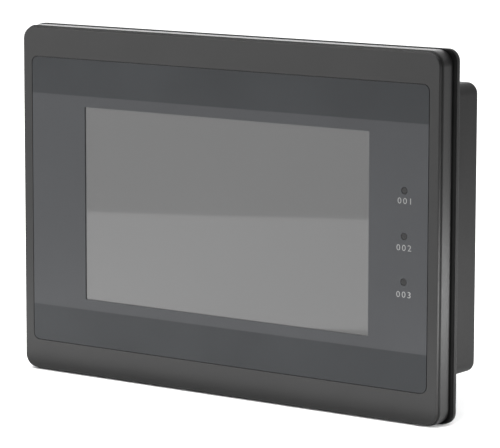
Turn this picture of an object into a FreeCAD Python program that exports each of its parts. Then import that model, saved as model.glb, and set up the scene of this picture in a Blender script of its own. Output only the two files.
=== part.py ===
"""Panel-mounted operator touch panel with a 4.3-inch display, in millimetres.

Frame: the origin is the middle of the flange face that seats on the cabinet panel.
+X points right as the operator sees it, +Y points into the cabinet and +Z points up.
Driving sizes live in the sheet "Sizes"; every sketch, pad, cut and primitive is bound to it.
"""
import FreeCAD, Part
import math
import os
from types import SimpleNamespace

import Sketcher
from FreeCAD import Vector

doc = FreeCAD.newDocument("TouchPanel")
sheet = doc.addObject("Spreadsheet::Sheet", "Sizes")

DRIVING_SIZES = {
    # front: bezel, step round its face, seal and seat flange
    "panel_width": 139.4, "panel_height": 97.4, "bezel_corner": 4.0, "bezel_depth": 5.2,
    "step_inset": 0.4, "step_drop": 1.1, "shoulder_round": 0.25, "face_round": 0.35,
    "foot_round": 0.1,
    "front_wall": 2.0, "rim_wall": 2.2, "inner_wall": 1.6, "inner_depth": 3.9,
    "seal_depth": 1.4, "seal_inset": 0.1, "seal_width": 4.4, "ring_corner": 1.0,
    "flange_depth": 1.6, "flange_side": 0.6, "flange_end": 0.15, "flange_corner": 3.2,
    "flange_round": 0.6,
    # printed film on the front
    "overlay_width": 132.1, "overlay_height": 80.0, "overlay_corner": 1.8, "film": 0.25,
    "moat_width": 0.2, "moat_depth": 0.4,
    # display stack, one layer behind the other
    "display_x": 0.3, "view_width": 95.04, "view_height": 53.86, "view_corner": 0.3,
    "touch_width": 104.6, "touch_height": 65.8, "touch_film": 0.2, "touch_spacer": 0.15,
    "touch_glass": 1.1, "gasket_depth": 0.5, "frame_border": 2.0,
    "module_width": 105.5, "module_height": 67.2, "module_depth": 2.9, "module_sheet": 0.3,
    "cell_depth": 1.2, "module_play": 0.8, "window_lap": 1.0, "cell_play": 0.2,
    "tray_play": 0.1, "tray_rim": 4.0, "tray_recess": 0.4,
    # flat cables, as half widths across and sheet thickness, and their connectors
    "display_cable_half": 16.0, "display_cable": 0.2, "display_bend": 1.2, "display_lift": 0.25,
    "touch_cable_x": 30.0, "touch_cable_half": 4.0, "touch_cable": 0.1, "touch_bend": 0.4,
    "touch_drop": 0.95, "cable_start": 30.0, "cable_entry": 0.8, "cable_run": 2.0,
    "connector_depth": 1.4, "connector_height": 3.6, "connector_rim": 1.0,
    "connector_play": 0.2, "connector_sink": 0.9, "connector_step": 0.3,
    # status lamps beside the display
    "lamp_x": 58.8, "lamp_z": 0.4, "lamp_pitch": 11.9, "lamp_hole": 0.95, "guide_radius": 0.85,
    "guide_bar": 1.0, "guide_bar_half": 1.3, "guide_bar_reach": 1.6, "guide_sink": 0.05,
    "guide_gap": 0.3, "lamp_length": 1.6, "lamp_width": 0.8, "lamp_height": 1.1,
    # rear housing
    "box_width": 129.0, "box_height": 77.0, "box_depth": 18.0, "box_corner": 3.0,
    "box_edge": 1.0, "wall": 2.0,
    "post_x": 58.6, "post_z": 33.5, "post_radius": 3.0, "post_end": 3.0, "tower_radius": 4.2,
    "long_screw": 1.5, "long_screw_end": 5.0, "long_head": 2.9, "long_head_depth": 2.0,
    "head_sink": 2.3, "screw_play": 0.2, "thread_play": 0.02, "tip_gap": 0.5,
    "gasket_inset": 2.0, "gasket_width": 2.6, "groove_depth": 0.9,
    "slot_x": 47.8, "slot_width": 9.6, "slot_low": 6.0, "slot_high": 11.2,
    "vent_width": 1.8, "vent_length": 26.0, "vent_x": 38.0, "vent_z": 22.0,
    "roof_vent": 9.0, "roof_vent_low": 6.0, "roof_vent_x": 18.0,
    # display bracket, spacers and main board
    "bracket_sheet": 0.6, "bracket_width": 104.0, "bracket_height": 59.0, "bracket_relief": 34.0,
    "relief_x": 25.5, "relief_corner": 2.0, "short_tip_gap": 0.3,
    "ear_x": 56.6, "ear_z": 24.0, "ear_radius": 2.2, "small_screw": 0.8, "small_head": 1.7,
    "small_head_depth": 1.2, "spacer_x": 46.0, "spacer_z": 25.0, "spacer_radius": 2.5,
    "spacer_length": 3.6, "board": 1.6, "board_width": 107.0, "board_low": -35.8,
    "board_high": 34.0, "tongue_reach": 60.0, "tongue_half": 15.5, "board_screw": 1.2,
    "board_head": 2.2, "board_head_depth": 1.5,
    # larger parts on the board
    "processor_x": 10.0, "processor_z": 12.0, "processor_half": 8.0, "processor_height": 1.4,
    "memory_x": 26.0, "memory_z": 12.0, "memory_pitch": 9.0, "memory_half_x": 4.0,
    "memory_half_z": 3.0, "memory_height": 1.1,
    "inductor_x": 40.0, "inductor_z": -10.0, "inductor_half": 3.8, "inductor_height": 4.0,
    "capacitor_x": 28.0, "capacitor_z": -17.0, "capacitor_pitch": 8.0,
    "capacitor_radius": 3.1, "capacitor_height": 7.7,
    "buzzer_x": -46.5, "buzzer_z": -6.0, "buzzer_radius": 4.7, "buzzer_height": 5.0,
    "buzzer_mouth": 0.9, "buzzer_mouth_depth": 1.5,
    # ports in the bottom wall
    "serial_x": -24.0, "serial_y": 9.0, "serial_plate_width": 30.8, "serial_plate_height": 12.5,
    "serial_plate": 0.8, "dee_width": 16.9, "dee_narrow": 14.2, "dee_height": 8.4,
    "dee_reach": 6.0, "dee_sheet": 0.5, "jack_spread": 12.5, "jack_flat": 2.4,
    "jack_length": 4.5, "jack_thread": 1.3, "jack_shank": 1.4, "jack_reach": 3.0,
    "contact_pitch": 2.77, "contact_row": 2.84, "contact_radius": 0.45, "contact_bore": 0.25,
    "contact_play": 0.05, "contact_sink": 1.0, "contact_bore_depth": 3.0, "contact_reach": 4.0,
    "insulator_sink": 0.5, "insulator_half": 9.6, "insulator_height_half": 5.2,
    "insulator_reach": 8.0,
    "device_x": 0.5, "device_width": 12.0, "device_height": 10.9, "device_length": 16.2,
    "device_mouth_width": 8.45, "device_mouth_height": 7.78, "device_tongue_width": 5.6,
    "device_tongue_height": 3.2, "usb_sheet": 0.4, "usb_proud": 0.4,
    "device_insert_sink": 0.3, "device_mouth_depth": 9.5, "device_tongue_sink": 1.2,
    "host_x": 17.0, "host_width": 13.1, "host_height": 5.7, "host_length": 13.8,
    "host_tongue_width": 11.1, "host_tongue": 1.8, "host_tongue_rise": 2.3,
    "host_tongue_sink": 1.5, "host_block": 3.4, "cutout_play": 0.3, "stand_off": 0.1,
    # supply terminal: socket on the board, pull-off plug with three clamp screws
    "supply_x": 34.5, "pole_pitch": 5.08, "socket_width": 17.2, "socket_height": 9.0,
    "socket_length": 12.0, "socket_wall": 0.7, "plug_play": 0.3, "plug_body": 8.4,
    "plug_rise": 2.7, "plug_gap": 0.4, "socket_sink": 0.2, "socket_back": 2.0,
    "plug_shoulder": 0.3, "plug_chamfer": 0.945, "pin_row": 4.05, "pin_sink": 2.5,
    "pin_tail": 0.6, "pin": 1.0, "pin_play": 0.2, "wire_radius": 1.7,
    "wire_stop": 0.33, "clamp_radius": 1.65, "clamp_play": 0.08, "clamp_length": 3.0,
    "clamp_sink": 0.4, "clamp_slot": 0.6, "clamp_slot_depth": 0.8, "clamp_gap": 0.3,
    # battery bay with its hinged door, coin cell and switch block
    "bay_left": -39.0, "bay_right": -5.0, "bay_low": -2.0, "bay_high": 26.0, "bay_collar": 2.5,
    "door_sheet": 1.6, "door_gap": 0.3, "hinge_drop": 1.6, "hinge_sink": 1.2, "hinge_pin": 0.8,
    "hinge_play": 0.06, "hinge_pin_length": 1.5, "ledge_length": 3.0, "ledge_width": 1.5,
    "ledge_gap": 0.1, "notch_drop": 2.0, "notch_corner": 0.9, "notch_depth": 1.2,
    "hinge_end_play": 0.2, "grip_start": 3.0, "grip_pitch": 1.6, "grip_width": 0.7,
    "grip_half": 5.0, "grip_depth": 0.3,
    "cell_x": -26.0, "cell_z": 12.0, "cell_radius": 10.0, "cell_thickness": 3.2,
    "holder_radius": 11.5, "holder_floor": 1.0, "holder_height": 3.6,
    "holder_play": 0.15, "holder_notch_half": 4.0, "holder_notch": 5.0, "cell_rim": 1.6,
    "cell_step": 0.6,
    "switch_x": -9.0, "switch_z": 12.0, "switch_width": 6.4, "switch_length": 7.0,
    "switch_height": 3.2, "slider_pitch": 2.54, "slider_width": 1.0, "slider_length": 1.4,
    "slider_travel": 1.6, "slider_play": 0.1, "slider_height": 1.6, "slider_proud": 0.5,
    # blank plate on the rear face
    "plate_width": 56.0, "plate_height": 20.0, "plate_x": -16.0, "plate_z": -20.0,
    "plate_sheet": 0.2, "plate_corner": 1.5,
    # how far a cut runs past a face, and how far joined pieces run into each other
    "overrun": 0.5, "overlap": 0.1,
}
# cross recess of a screw: its reach and slit to the head's radius, its depth to the head's
RECESS_REACH = 0.6
RECESS_SLIT = 0.13
RECESS_DEPTH = 0.55
VENT_ROUNDING = 0.9  # corner radius of a vent to half its width
REAR_VENTS = 11
ROOF_VENTS = 9
GRIP_RIBS = 3


class Measure:
    """A sheet value or a formula of them: its text binds a property, its number aims a pick."""

    def __init__(self, text, number):
        self.text = text
        self.number = number

    def __neg__(self):
        return Measure(f"(-{self.text})", -self.number)

    def __add__(self, other):
        other = as_measure(other)
        return Measure(f"({self.text} + {other.text})", self.number + other.number)

    def __radd__(self, other):
        return as_measure(other) + self

    def __sub__(self, other):
        other = as_measure(other)
        return Measure(f"({self.text} - {other.text})", self.number - other.number)

    def __rsub__(self, other):
        return as_measure(other) - self

    def __mul__(self, factor):
        factor = as_measure(factor)
        return Measure(f"({self.text} * {factor.text})", self.number * factor.number)

    __rmul__ = __mul__


def as_measure(value):
    """Wrap a plain number so that it can stand in a formula."""
    if isinstance(value, Measure):
        return value
    return Measure(f"({value:.6g})", float(value))


def fill_sheet():
    """Write each driving size in a cell of its own and return them all as measures."""
    measures = {}
    for row, (alias, number) in enumerate(DRIVING_SIZES.items(), start=1):
        sheet.set(f"A{row}", alias)
        sheet.set(f"B{row}", str(number))
        sheet.setAlias(f"B{row}", alias)
        measures[alias] = Measure(f"Sizes.{alias}", float(number))
    doc.recompute()
    return SimpleNamespace(**measures)


s = fill_sheet()
SIDES = (-1, 1)
CORNERS = [(across, up) for across in SIDES for up in SIDES]
NEAR = 1e-3  # mm, within which an edge counts as lying on a level
LEAST_CHANGE = 1e-4  # mm3, under which a pad or cut has done nothing

# levels along Y, from the operator's side into the cabinet
FRONT = -(s.bezel_depth + s.seal_depth + s.flange_depth)
SHOULDER = FRONT + s.step_drop
CHANNEL_FLOOR = FRONT + s.film + s.front_wall
INNER_BACK = FRONT + s.inner_depth
BEZEL_BACK = FRONT + s.bezel_depth
FLANGE_FRONT = -s.flange_depth
SEAT = as_measure(0)
FILM_BACK = FRONT + s.film
TOUCH_FILM_BACK = FILM_BACK + s.touch_film
SPACER_BACK = TOUCH_FILM_BACK + s.touch_spacer
GLASS_BACK = SPACER_BACK + s.touch_glass
MODULE_FRONT = GLASS_BACK + s.gasket_depth
CELL_FRONT = MODULE_FRONT + s.module_sheet
CELL_BACK = CELL_FRONT + s.cell_depth
MODULE_BACK = MODULE_FRONT + s.module_depth
BRACKET_BACK = MODULE_BACK + s.bracket_sheet
BOARD_FRONT = BRACKET_BACK + s.spacer_length
BOARD_BACK = BOARD_FRONT + s.board
REAR = s.box_depth
REAR_INNER = REAR - s.wall

# half sizes and levels along X and Z
PANEL_X = s.panel_width * 0.5
PANEL_Z = s.panel_height * 0.5
FLANGE_X = PANEL_X + s.flange_side
FLANGE_Z = PANEL_Z + s.flange_end
BOX_X = s.box_width * 0.5
BOX_Z = s.box_height * 0.5
FLOOR_INNER = s.wall - BOX_Z
OVERLAY_X = s.overlay_width * 0.5
OVERLAY_Z = s.overlay_height * 0.5
OPENING_X = s.module_width * 0.5 + s.module_play
OPENING_Z = s.module_height * 0.5 + s.module_play
LAMPS = [(s.lamp_x, s.lamp_z + s.lamp_pitch * step) for step in (-1, 0, 1)]
POSTS = [(s.post_x * across, s.post_z * up) for across, up in CORNERS]
EARS = [(s.ear_x * across, s.ear_z * up) for across, up in CORNERS]
SPACERS = [(s.spacer_x * across, s.spacer_z * up) for across, up in CORNERS]
HINGE_Y = REAR - s.hinge_sink
HINGE_Z = s.bay_high - s.hinge_drop

nodes = []
PLANES = {"XZ": ("XZ_Plane", -1), "XY": ("XY_Plane", 1), "YZ": ("YZ_Plane", 1)}
AXIS_TURNS = {
    "X": FreeCAD.Rotation(Vector(0, 1, 0), 90),
    "Y": FreeCAD.Rotation(Vector(1, 0, 0), -90),
    "Z": FreeCAD.Rotation(),
}


def bind(item, path, value):
    """Tie one property of an object to the sheet."""
    item.setExpression(path, as_measure(value).text)


def node(item, name):
    """Count an object as a sub-part under its own label."""
    item.Label = name
    nodes.append(item)
    return item


def span(middle, half):
    """Give the two ends of a stretch from its middle and half its length."""
    return (middle - half, middle + half)


# ---------------------------------------------------------------- sketch and body helpers


def start_body(name):
    """Begin a PartDesign body that becomes one sub-part."""
    return node(doc.addObject("PartDesign::Body", name), name)


def start_sketch(body, name, plane, level):
    """Put a sketch on a body's own origin plane, moved along the plane's normal to a level."""
    role, sign = PLANES[plane]
    sketch = body.newObject("Sketcher::SketchObject", name)
    support = next(item for item in body.Origin.OriginFeatures if item.Role == role)
    sketch.AttachmentSupport = [(support, "")]
    sketch.MapMode = "FlatFace"
    bind(sketch, "AttachmentOffset.Base.z", as_measure(level) * sign)
    return sketch


def drive(sketch, kind, geometry, point, value):
    """Fix a point's distance from the sketch's origin, or a radius, from the sheet."""
    value = as_measure(value)
    if kind == "Radius":
        constraint = Sketcher.Constraint(kind, geometry, value.number)
    else:
        constraint = Sketcher.Constraint(kind, -1, 1, geometry, point, value.number)
    index = sketch.addConstraint(constraint)
    sketch.renameConstraint(index, f"size_{index}")
    sketch.setExpression(f"Constraints.size_{index}", value.text)


def draw_polygon(sketch, corners):
    """Draw a closed outline whose every corner is driven from the sheet."""
    corners = [(as_measure(across), as_measure(up)) for across, up in corners]
    places = [Vector(across.number, up.number, 0) for across, up in corners]
    first = sketch.GeometryCount
    count = len(places)
    for index in range(count):
        sketch.addGeometry(Part.LineSegment(places[index], places[(index + 1) % count]))
    for index in range(count):
        following = first + (index + 1) % count
        sketch.addConstraint(Sketcher.Constraint("Coincident", first + index, 2, following, 1))
    for index, (across, up) in enumerate(corners):
        drive(sketch, "DistanceX", first + index, 1, across)
        drive(sketch, "DistanceY", first + index, 1, up)


def draw_box(sketch, across, up):
    """Draw a plain rectangle from its two ends across and up."""
    (left, right), (low, high) = across, up
    draw_polygon(sketch, [(left, low), (right, low), (right, high), (left, high)])


def draw_rounded(sketch, across, up, radius):
    """Draw a rectangle with four equal round corners."""
    left, right = (as_measure(end) for end in across)
    low, high = (as_measure(end) for end in up)
    r = as_measure(radius).number
    x0, x1, y0, y1 = left.number, right.number, low.number, high.number
    first = sketch.GeometryCount
    sides = [((x0 + r, y0), (x1 - r, y0)), ((x1, y0 + r), (x1, y1 - r)),
             ((x1 - r, y1), (x0 + r, y1)), ((x0, y1 - r), (x0, y0 + r))]
    centres = [(x1 - r, y0 + r), (x1 - r, y1 - r), (x0 + r, y1 - r), (x0 + r, y0 + r)]
    for start, end in sides:
        sketch.addGeometry(Part.LineSegment(Vector(*start, 0), Vector(*end, 0)))
    for index, centre in enumerate(centres):
        circle = Part.Circle(Vector(*centre, 0), Vector(0, 0, 1), r)
        begin = (index - 1) * math.pi / 2
        sketch.addGeometry(Part.ArcOfCircle(circle, begin, begin + math.pi / 2))
    for index in range(4):
        side, arc, following = first + index, first + 4 + index, first + (index + 1) % 4
        sketch.addConstraint(Sketcher.Constraint("Tangent", side, 2, arc, 1))
        sketch.addConstraint(Sketcher.Constraint("Tangent", arc, 2, following, 1))
        direction = "Horizontal" if index % 2 == 0 else "Vertical"
        sketch.addConstraint(Sketcher.Constraint(direction, side))
        if index:
            sketch.addConstraint(Sketcher.Constraint("Equal", first + 4, arc))
    drive(sketch, "Radius", first + 4, 0, radius)
    drive(sketch, "DistanceY", first, 1, low)
    drive(sketch, "DistanceX", first + 1, 1, right)
    drive(sketch, "DistanceY", first + 2, 1, high)
    drive(sketch, "DistanceX", first + 3, 1, left)


def draw_circles(sketch, spots, radius):
    """Draw equal circles at the given spots."""
    for across, up in spots:
        across, up, size = as_measure(across), as_measure(up), as_measure(radius)
        circle = Part.Circle(Vector(across.number, up.number, 0), Vector(0, 0, 1), size.number)
        index = sketch.addGeometry(circle)
        drive(sketch, "Radius", index, 0, size)
        drive(sketch, "DistanceX", index, 3, across)
        drive(sketch, "DistanceY", index, 3, up)


def extrude(body, sketch, low, high, cut=False):
    """Pad or pocket a sketch from its own level, low, up the positive axis to high."""
    doc.recompute()
    before = body.Shape.Volume if body.Shape and not body.Shape.isNull() else 0
    kind = "Pocket" if cut else "Pad"
    feature = body.newObject(f"PartDesign::{kind}", f"{sketch.Name}_{kind.lower()}")
    feature.Profile = sketch
    bind(feature, "Length", as_measure(high) - low)
    on_xz = sketch.AttachmentSupport[0][0].Role == "XZ_Plane"
    feature.Reversed = on_xz != cut
    doc.recompute()
    change = body.Shape.Volume - before
    if (change > -LEAST_CHANGE) if cut else (change < LEAST_CHANGE):
        raise RuntimeError(f"{feature.Name} changes {body.Label} by {change:.4f} mm3")
    return feature


def rounded_layer(body, name, across, up, radius, low, high, cut=False):
    """Add or cut a slab with round corners, square to Y."""
    sketch = start_sketch(body, name, "XZ", low)
    draw_rounded(sketch, across, up, radius)
    return extrude(body, sketch, low, high, cut)


def box_layer(body, name, across, up, low, high, cut=False, plane="XZ"):
    """Add or cut a plain slab."""
    sketch = start_sketch(body, name, plane, low)
    draw_box(sketch, across, up)
    return extrude(body, sketch, low, high, cut)


def round_layer(body, name, spots, radius, low, high, cut=False, plane="XZ"):
    """Add or cut round bosses or holes."""
    sketch = start_sketch(body, name, plane, low)
    draw_circles(sketch, spots, radius)
    return extrude(body, sketch, low, high, cut)


def ring_layer(body, name, outer, inner, low, high, cut=False):
    """Add or cut a ring between two rounded rectangles, each given as across, up, radius."""
    sketch = start_sketch(body, name, "XZ", low)
    draw_rounded(sketch, *outer)
    draw_rounded(sketch, *inner)
    return extrude(body, sketch, low, high, cut)


def dress_edges(body, kind, name, size, wanted):
    """Fillet or chamfer every edge that the test picks."""
    base = body.Tip
    names = [f"Edge{n}" for n, edge in enumerate(base.Shape.Edges, start=1) if wanted(edge)]
    if not names:
        raise RuntimeError(f"{name} finds no edge on {body.Label}")
    feature = body.newObject(f"PartDesign::{kind}", name)
    feature.Base = (base, names)
    bind(feature, "Radius" if kind == "Fillet" else "Size", size)
    doc.recompute()
    return feature


def outer_rim(level, half_across, half_up):
    """Pick the edges of an outline that lie in one plane square to Y, at its outside."""
    def wanted(edge):
        box = edge.BoundBox
        in_plane = abs(box.YMin - level.number) < NEAR and abs(box.YMax - level.number) < NEAR
        reach_x = max(abs(box.XMin), abs(box.XMax))
        reach_z = max(abs(box.ZMin), abs(box.ZMax))
        at_side = abs(reach_x - half_across.number) < NEAR
        at_end = abs(reach_z - half_up.number) < NEAR
        return in_plane and (at_side or at_end)
    return wanted


# ---------------------------------------------------------------- primitive helpers


def block(name, x, y, z):
    """Make a bound Part::Box from its ends along each axis."""
    item = doc.addObject("Part::Box", name)
    for length, base, (low, high) in (("Length", "x", x), ("Width", "y", y), ("Height", "z", z)):
        bind(item, length, as_measure(high) - low)
        bind(item, f"Placement.Base.{base}", low)
    return item


def rod(name, axis, spot, radius, low, high):
    """Make a bound Part::Cylinder along one axis; the spot is its place across that axis."""
    item = doc.addObject("Part::Cylinder", name)
    item.Placement = FreeCAD.Placement(Vector(), AXIS_TURNS[axis])
    bind(item, "Radius", radius)
    bind(item, "Height", as_measure(high) - low)
    others = [letter for letter in "xyz" if letter != axis.lower()]
    for letter, value in zip(others, spot):
        bind(item, f"Placement.Base.{letter}", value)
    bind(item, f"Placement.Base.{axis.lower()}", low)
    return item


def fuse(name, items):
    """Join bound primitives into one solid."""
    item = doc.addObject("Part::MultiFuse", name)
    item.Shapes = items
    return item


def cut_away(name, base, tools):
    """Take one or more bound primitives out of another."""
    item = doc.addObject("Part::Cut", name)
    item.Base = base
    item.Tool = tools[0] if len(tools) == 1 else fuse(f"{name}_tools", tools)
    return item


def group(name, items):
    """Keep repeated pieces as separate solids in one sub-part."""
    item = doc.addObject("Part::Compound", name)
    item.Links = items
    return node(item, name)


def cross_screw(name, spot, head_radius, head, shank_radius, tip):
    """Make a screw along Y: head from head[0] to head[1], shank forward to tip, cross recess."""
    across, up = spot
    low, high = head
    solid = fuse(f"{name}_blank", [
        rod(f"{name}_head", "Y", spot, head_radius, low, high),
        rod(f"{name}_shank", "Y", spot, shank_radius, tip, low + s.overlap),
    ])
    reach, slit = head_radius * RECESS_REACH, head_radius * RECESS_SLIT
    depth = (high - low) * RECESS_DEPTH
    levels = (high - depth, high + s.overrun)
    recess = [
        block(f"{name}_slit_a", span(across, reach), levels, span(up, slit)),
        block(f"{name}_slit_b", span(across, slit), levels, span(up, reach)),
    ]
    return cut_away(f"{name}_screw", solid, recess)


# ---------------------------------------------------------------- front


def make_front_bezel():
    """Moulded frame: stepped front edge, film recess with its moat, display opening, posts."""
    body = start_body("front_bezel")
    rounded_layer(body, "bezel_outline", (-PANEL_X, PANEL_X), (-PANEL_Z, PANEL_Z),
                  s.bezel_corner, SHOULDER, BEZEL_BACK)
    dress_edges(body, "Fillet", "bezel_shoulder", s.shoulder_round,
                outer_rim(SHOULDER, PANEL_X, PANEL_Z))
    face_x, face_z = PANEL_X - s.step_inset, PANEL_Z - s.step_inset
    rounded_layer(body, "bezel_face", (-face_x, face_x), (-face_z, face_z),
                  s.bezel_corner - s.step_inset, FRONT, SHOULDER)
    dress_edges(body, "Fillet", "bezel_face_edge", s.face_round, outer_rim(FRONT, face_x, face_z))
    dress_edges(body, "Fillet", "bezel_step_foot", s.foot_round,
                outer_rim(SHOULDER, face_x, face_z))
    moat_x, moat_z = OVERLAY_X + s.moat_width, OVERLAY_Z + s.moat_width
    moat = ((-moat_x, moat_x), (-moat_z, moat_z), s.overlay_corner + s.moat_width)
    rounded_layer(body, "film_recess", *moat, FRONT, FILM_BACK, cut=True)
    film = ((-OVERLAY_X, OVERLAY_X), (-OVERLAY_Z, OVERLAY_Z), s.overlay_corner)
    ring_layer(body, "film_moat", moat, film, FILM_BACK, FRONT + s.moat_depth, cut=True)
    opening_across = span(s.display_x, OPENING_X)
    box_layer(body, "display_opening", opening_across, (-OPENING_Z, OPENING_Z), FILM_BACK,
              INNER_BACK, cut=True)
    rim_x, rim_z = PANEL_X - s.rim_wall, PANEL_Z - s.rim_wall
    rim = ((-rim_x, rim_x), (-rim_z, rim_z), s.bezel_corner - s.rim_wall)
    wall_x, wall_z = OPENING_X + s.inner_wall, OPENING_Z + s.inner_wall
    ring_layer(body, "rear_channel", rim,
               (span(s.display_x, wall_x), (-wall_z, wall_z), s.inner_wall),
               CHANNEL_FLOOR, INNER_BACK, cut=True)
    rounded_layer(body, "rim_hollow", *rim, INNER_BACK, BEZEL_BACK, cut=True)
    round_layer(body, "screw_posts", POSTS, s.post_radius, CHANNEL_FLOOR, s.post_end)
    round_layer(body, "bracket_bosses", EARS, s.ear_radius, CHANNEL_FLOOR, MODULE_BACK)
    round_layer(body, "post_holes", POSTS, s.long_screw, -s.long_screw_end, s.post_end, cut=True)
    round_layer(body, "boss_holes", EARS, s.small_screw, CHANNEL_FLOOR, MODULE_BACK, cut=True)
    round_layer(body, "guide_holes", LAMPS, s.lamp_hole, FILM_BACK, CHANNEL_FLOOR, cut=True)


def make_front_overlay():
    """Printed polyester film with the display window and three lamp windows cut in it."""
    body = start_body("front_overlay")
    rounded_layer(body, "overlay_outline", (-OVERLAY_X, OVERLAY_X), (-OVERLAY_Z, OVERLAY_Z),
                  s.overlay_corner, FRONT, FILM_BACK)
    rounded_layer(body, "overlay_window", span(s.display_x, s.view_width * 0.5),
                  span(as_measure(0), s.view_height * 0.5), s.view_corner, FRONT, FILM_BACK, cut=True)
    round_layer(body, "lamp_windows", LAMPS, s.lamp_hole, FRONT, FILM_BACK, cut=True)


def make_touch_screen():
    """Touch film, the adhesive spacer round its edge and the glass that it presses on."""
    across, up = span(s.display_x, s.touch_width * 0.5), span(as_measure(0), s.touch_height * 0.5)
    node(block("touch_film", across, (FILM_BACK, TOUCH_FILM_BACK), up), "touch_film")
    inner_across = span(s.display_x, s.view_width * 0.5 + s.frame_border)
    inner_up = span(as_measure(0), s.view_height * 0.5 + s.frame_border)
    for name, low, high in (("touch_spacer", TOUCH_FILM_BACK, SPACER_BACK),
                            ("display_gasket", GLASS_BACK, MODULE_FRONT)):
        body = start_body(name)
        box_layer(body, f"{name}_outline", across, up, low, high)
        box_layer(body, f"{name}_window", inner_across, inner_up, low, high, cut=True)
    node(block("touch_glass", across, (SPACER_BACK, GLASS_BACK), up), "touch_glass")


def make_display_module():
    """Pressed steel frame, liquid-crystal cell and backlight tray of the display."""
    half_x, half_z, sheet_metal = s.module_width * 0.5, s.module_height * 0.5, s.module_sheet
    frame = start_body("lcd_frame")
    box_layer(frame, "frame_outline", span(s.display_x, half_x), (-half_z, half_z),
              MODULE_FRONT, MODULE_BACK)
    inner_x, inner_z = half_x - sheet_metal, half_z - sheet_metal
    box_layer(frame, "frame_hollow", span(s.display_x, inner_x), (-inner_z, inner_z),
              CELL_FRONT, MODULE_BACK, cut=True)
    view_x, view_z = s.view_width * 0.5 + s.window_lap, s.view_height * 0.5 + s.window_lap
    box_layer(frame, "frame_window", span(s.display_x, view_x), (-view_z, view_z),
              MODULE_FRONT, CELL_FRONT, cut=True)
    cell_x, cell_z = inner_x - s.cell_play, inner_z - s.cell_play
    cell = block("lcd_glass", span(s.display_x, cell_x), (CELL_FRONT, CELL_BACK),
                 (-cell_z, cell_z))
    node(cell, "lcd_glass")
    tray = start_body("backlight_unit")
    tray_x, tray_z = inner_x - s.tray_play, inner_z - s.tray_play
    box_layer(tray, "tray_outline", span(s.display_x, tray_x), (-tray_z, tray_z),
              CELL_BACK, MODULE_BACK)
    recess_x, recess_z = inner_x - s.tray_rim, inner_z - s.tray_rim
    box_layer(tray, "tray_recess", span(s.display_x, recess_x), (-recess_z, recess_z),
              MODULE_BACK - s.tray_recess, MODULE_BACK, cut=True)


def make_display_bracket():
    """Steel plate that clamps the display to the bezel and carries the board's spacers."""
    body = start_body("lcd_bracket")
    half_x, half_z = s.bracket_width * 0.5, s.bracket_height * 0.5
    box_layer(body, "bracket_plate", (-half_x, half_x), (-half_z, half_z), MODULE_BACK, BRACKET_BACK)
    ear_up = span(s.ear_z, s.ear_radius)
    for label, low, high in (("upper", *ear_up), ("lower", -ear_up[1], -ear_up[0])):
        reach = s.ear_x + s.ear_radius
        box_layer(body, f"bracket_ears_{label}", (-reach, reach), (low, high),
                  MODULE_BACK, BRACKET_BACK)
    for across in SIDES:
        half = s.bracket_relief * 0.5
        rounded_layer(body, f"bracket_relief_{across + 1}", span(s.relief_x * across, half),
                      (-half, half), s.relief_corner, MODULE_BACK, BRACKET_BACK, cut=True)
    round_layer(body, "bracket_holes", EARS, s.small_screw + s.screw_play, MODULE_BACK,
                BRACKET_BACK, cut=True)
    head = (BRACKET_BACK, BRACKET_BACK + s.small_head_depth)
    group("bracket_screws", [
        cross_screw(f"bracket_{index}", spot, s.small_head, head,
                    s.small_screw - s.thread_play, CHANNEL_FLOOR + s.short_tip_gap)
        for index, spot in enumerate(EARS)
    ])


def ribbon(name, across, thickness, path, bend):
    """Sweep a flat cable's section along straight runs joined by round bends, square to X."""
    places = [Vector(across[0].number, y.number, z.number) for y, z in path]
    edges, start = [], places[0]
    for before, corner, after in zip(places, places[1:], places[2:]):
        towards_before = (before - corner).normalize()
        towards_after = (after - corner).normalize()
        half_turn = towards_before.getAngle(towards_after) / 2
        trim = bend / math.tan(half_turn)
        entry, leave = corner + towards_before * trim, corner + towards_after * trim
        inward = (towards_before + towards_after).normalize()
        middle = corner + inward * (bend / math.sin(half_turn) - bend)
        edges.append(Part.LineSegment(start, entry).toShape())
        edges.append(Part.Arc(entry, middle, leave).toShape())
        start = leave
    edges.append(Part.LineSegment(start, places[-1]).toShape())
    line = Part.Wire(edges)
    outline = line.makeOffset2D(thickness.number / 2, openResult=False)
    face = Part.Face(outline)
    item = doc.addObject("Part::Feature", name)
    item.Shape = face.extrude(Vector(across[1].number - across[0].number, 0, 0))
    return node(item, name)


def make_flat_cables():
    """Flat cables from the display and the touch film to their connectors on the board."""
    entry_y, turn = BOARD_FRONT - s.cable_entry, s.board_low + s.cable_entry
    lift = turn + s.cable_run
    display_across = span(as_measure(0), s.display_cable_half)
    touch_across = span(s.touch_cable_x, s.touch_cable_half)
    back = MODULE_BACK + s.display_lift
    start = -s.cable_start
    ribbon("lcd_cable", display_across, s.display_cable,
           [(back, start), (back, turn), (entry_y, turn), (entry_y, lift)],
           s.display_bend.number)
    middle = (TOUCH_FILM_BACK + SPACER_BACK) * 0.5
    edge = -(s.touch_height * 0.5)
    ribbon("touch_cable", touch_across, s.touch_cable,
           [(middle, edge - s.overlap), (middle, edge - s.touch_drop),
            (entry_y, edge - s.touch_drop), (entry_y, lift + s.connector_step)],
           s.touch_bend.number)
    play = s.connector_play
    for name, across, low in (("display_connector", display_across, lift),
                              ("touch_connector", touch_across, lift + s.connector_step)):
        left, right = across
        shell = block(f"{name}_shell", (left - s.connector_rim, right + s.connector_rim),
                      (BOARD_FRONT - s.connector_depth, BOARD_FRONT),
                      (low, low + s.connector_height))
        slit = block(f"{name}_slit", (left - play, right + play), span(entry_y, play),
                     (low - s.overrun, low + s.connector_sink))
        node(cut_away(name, shell, [slit]), name)


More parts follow.
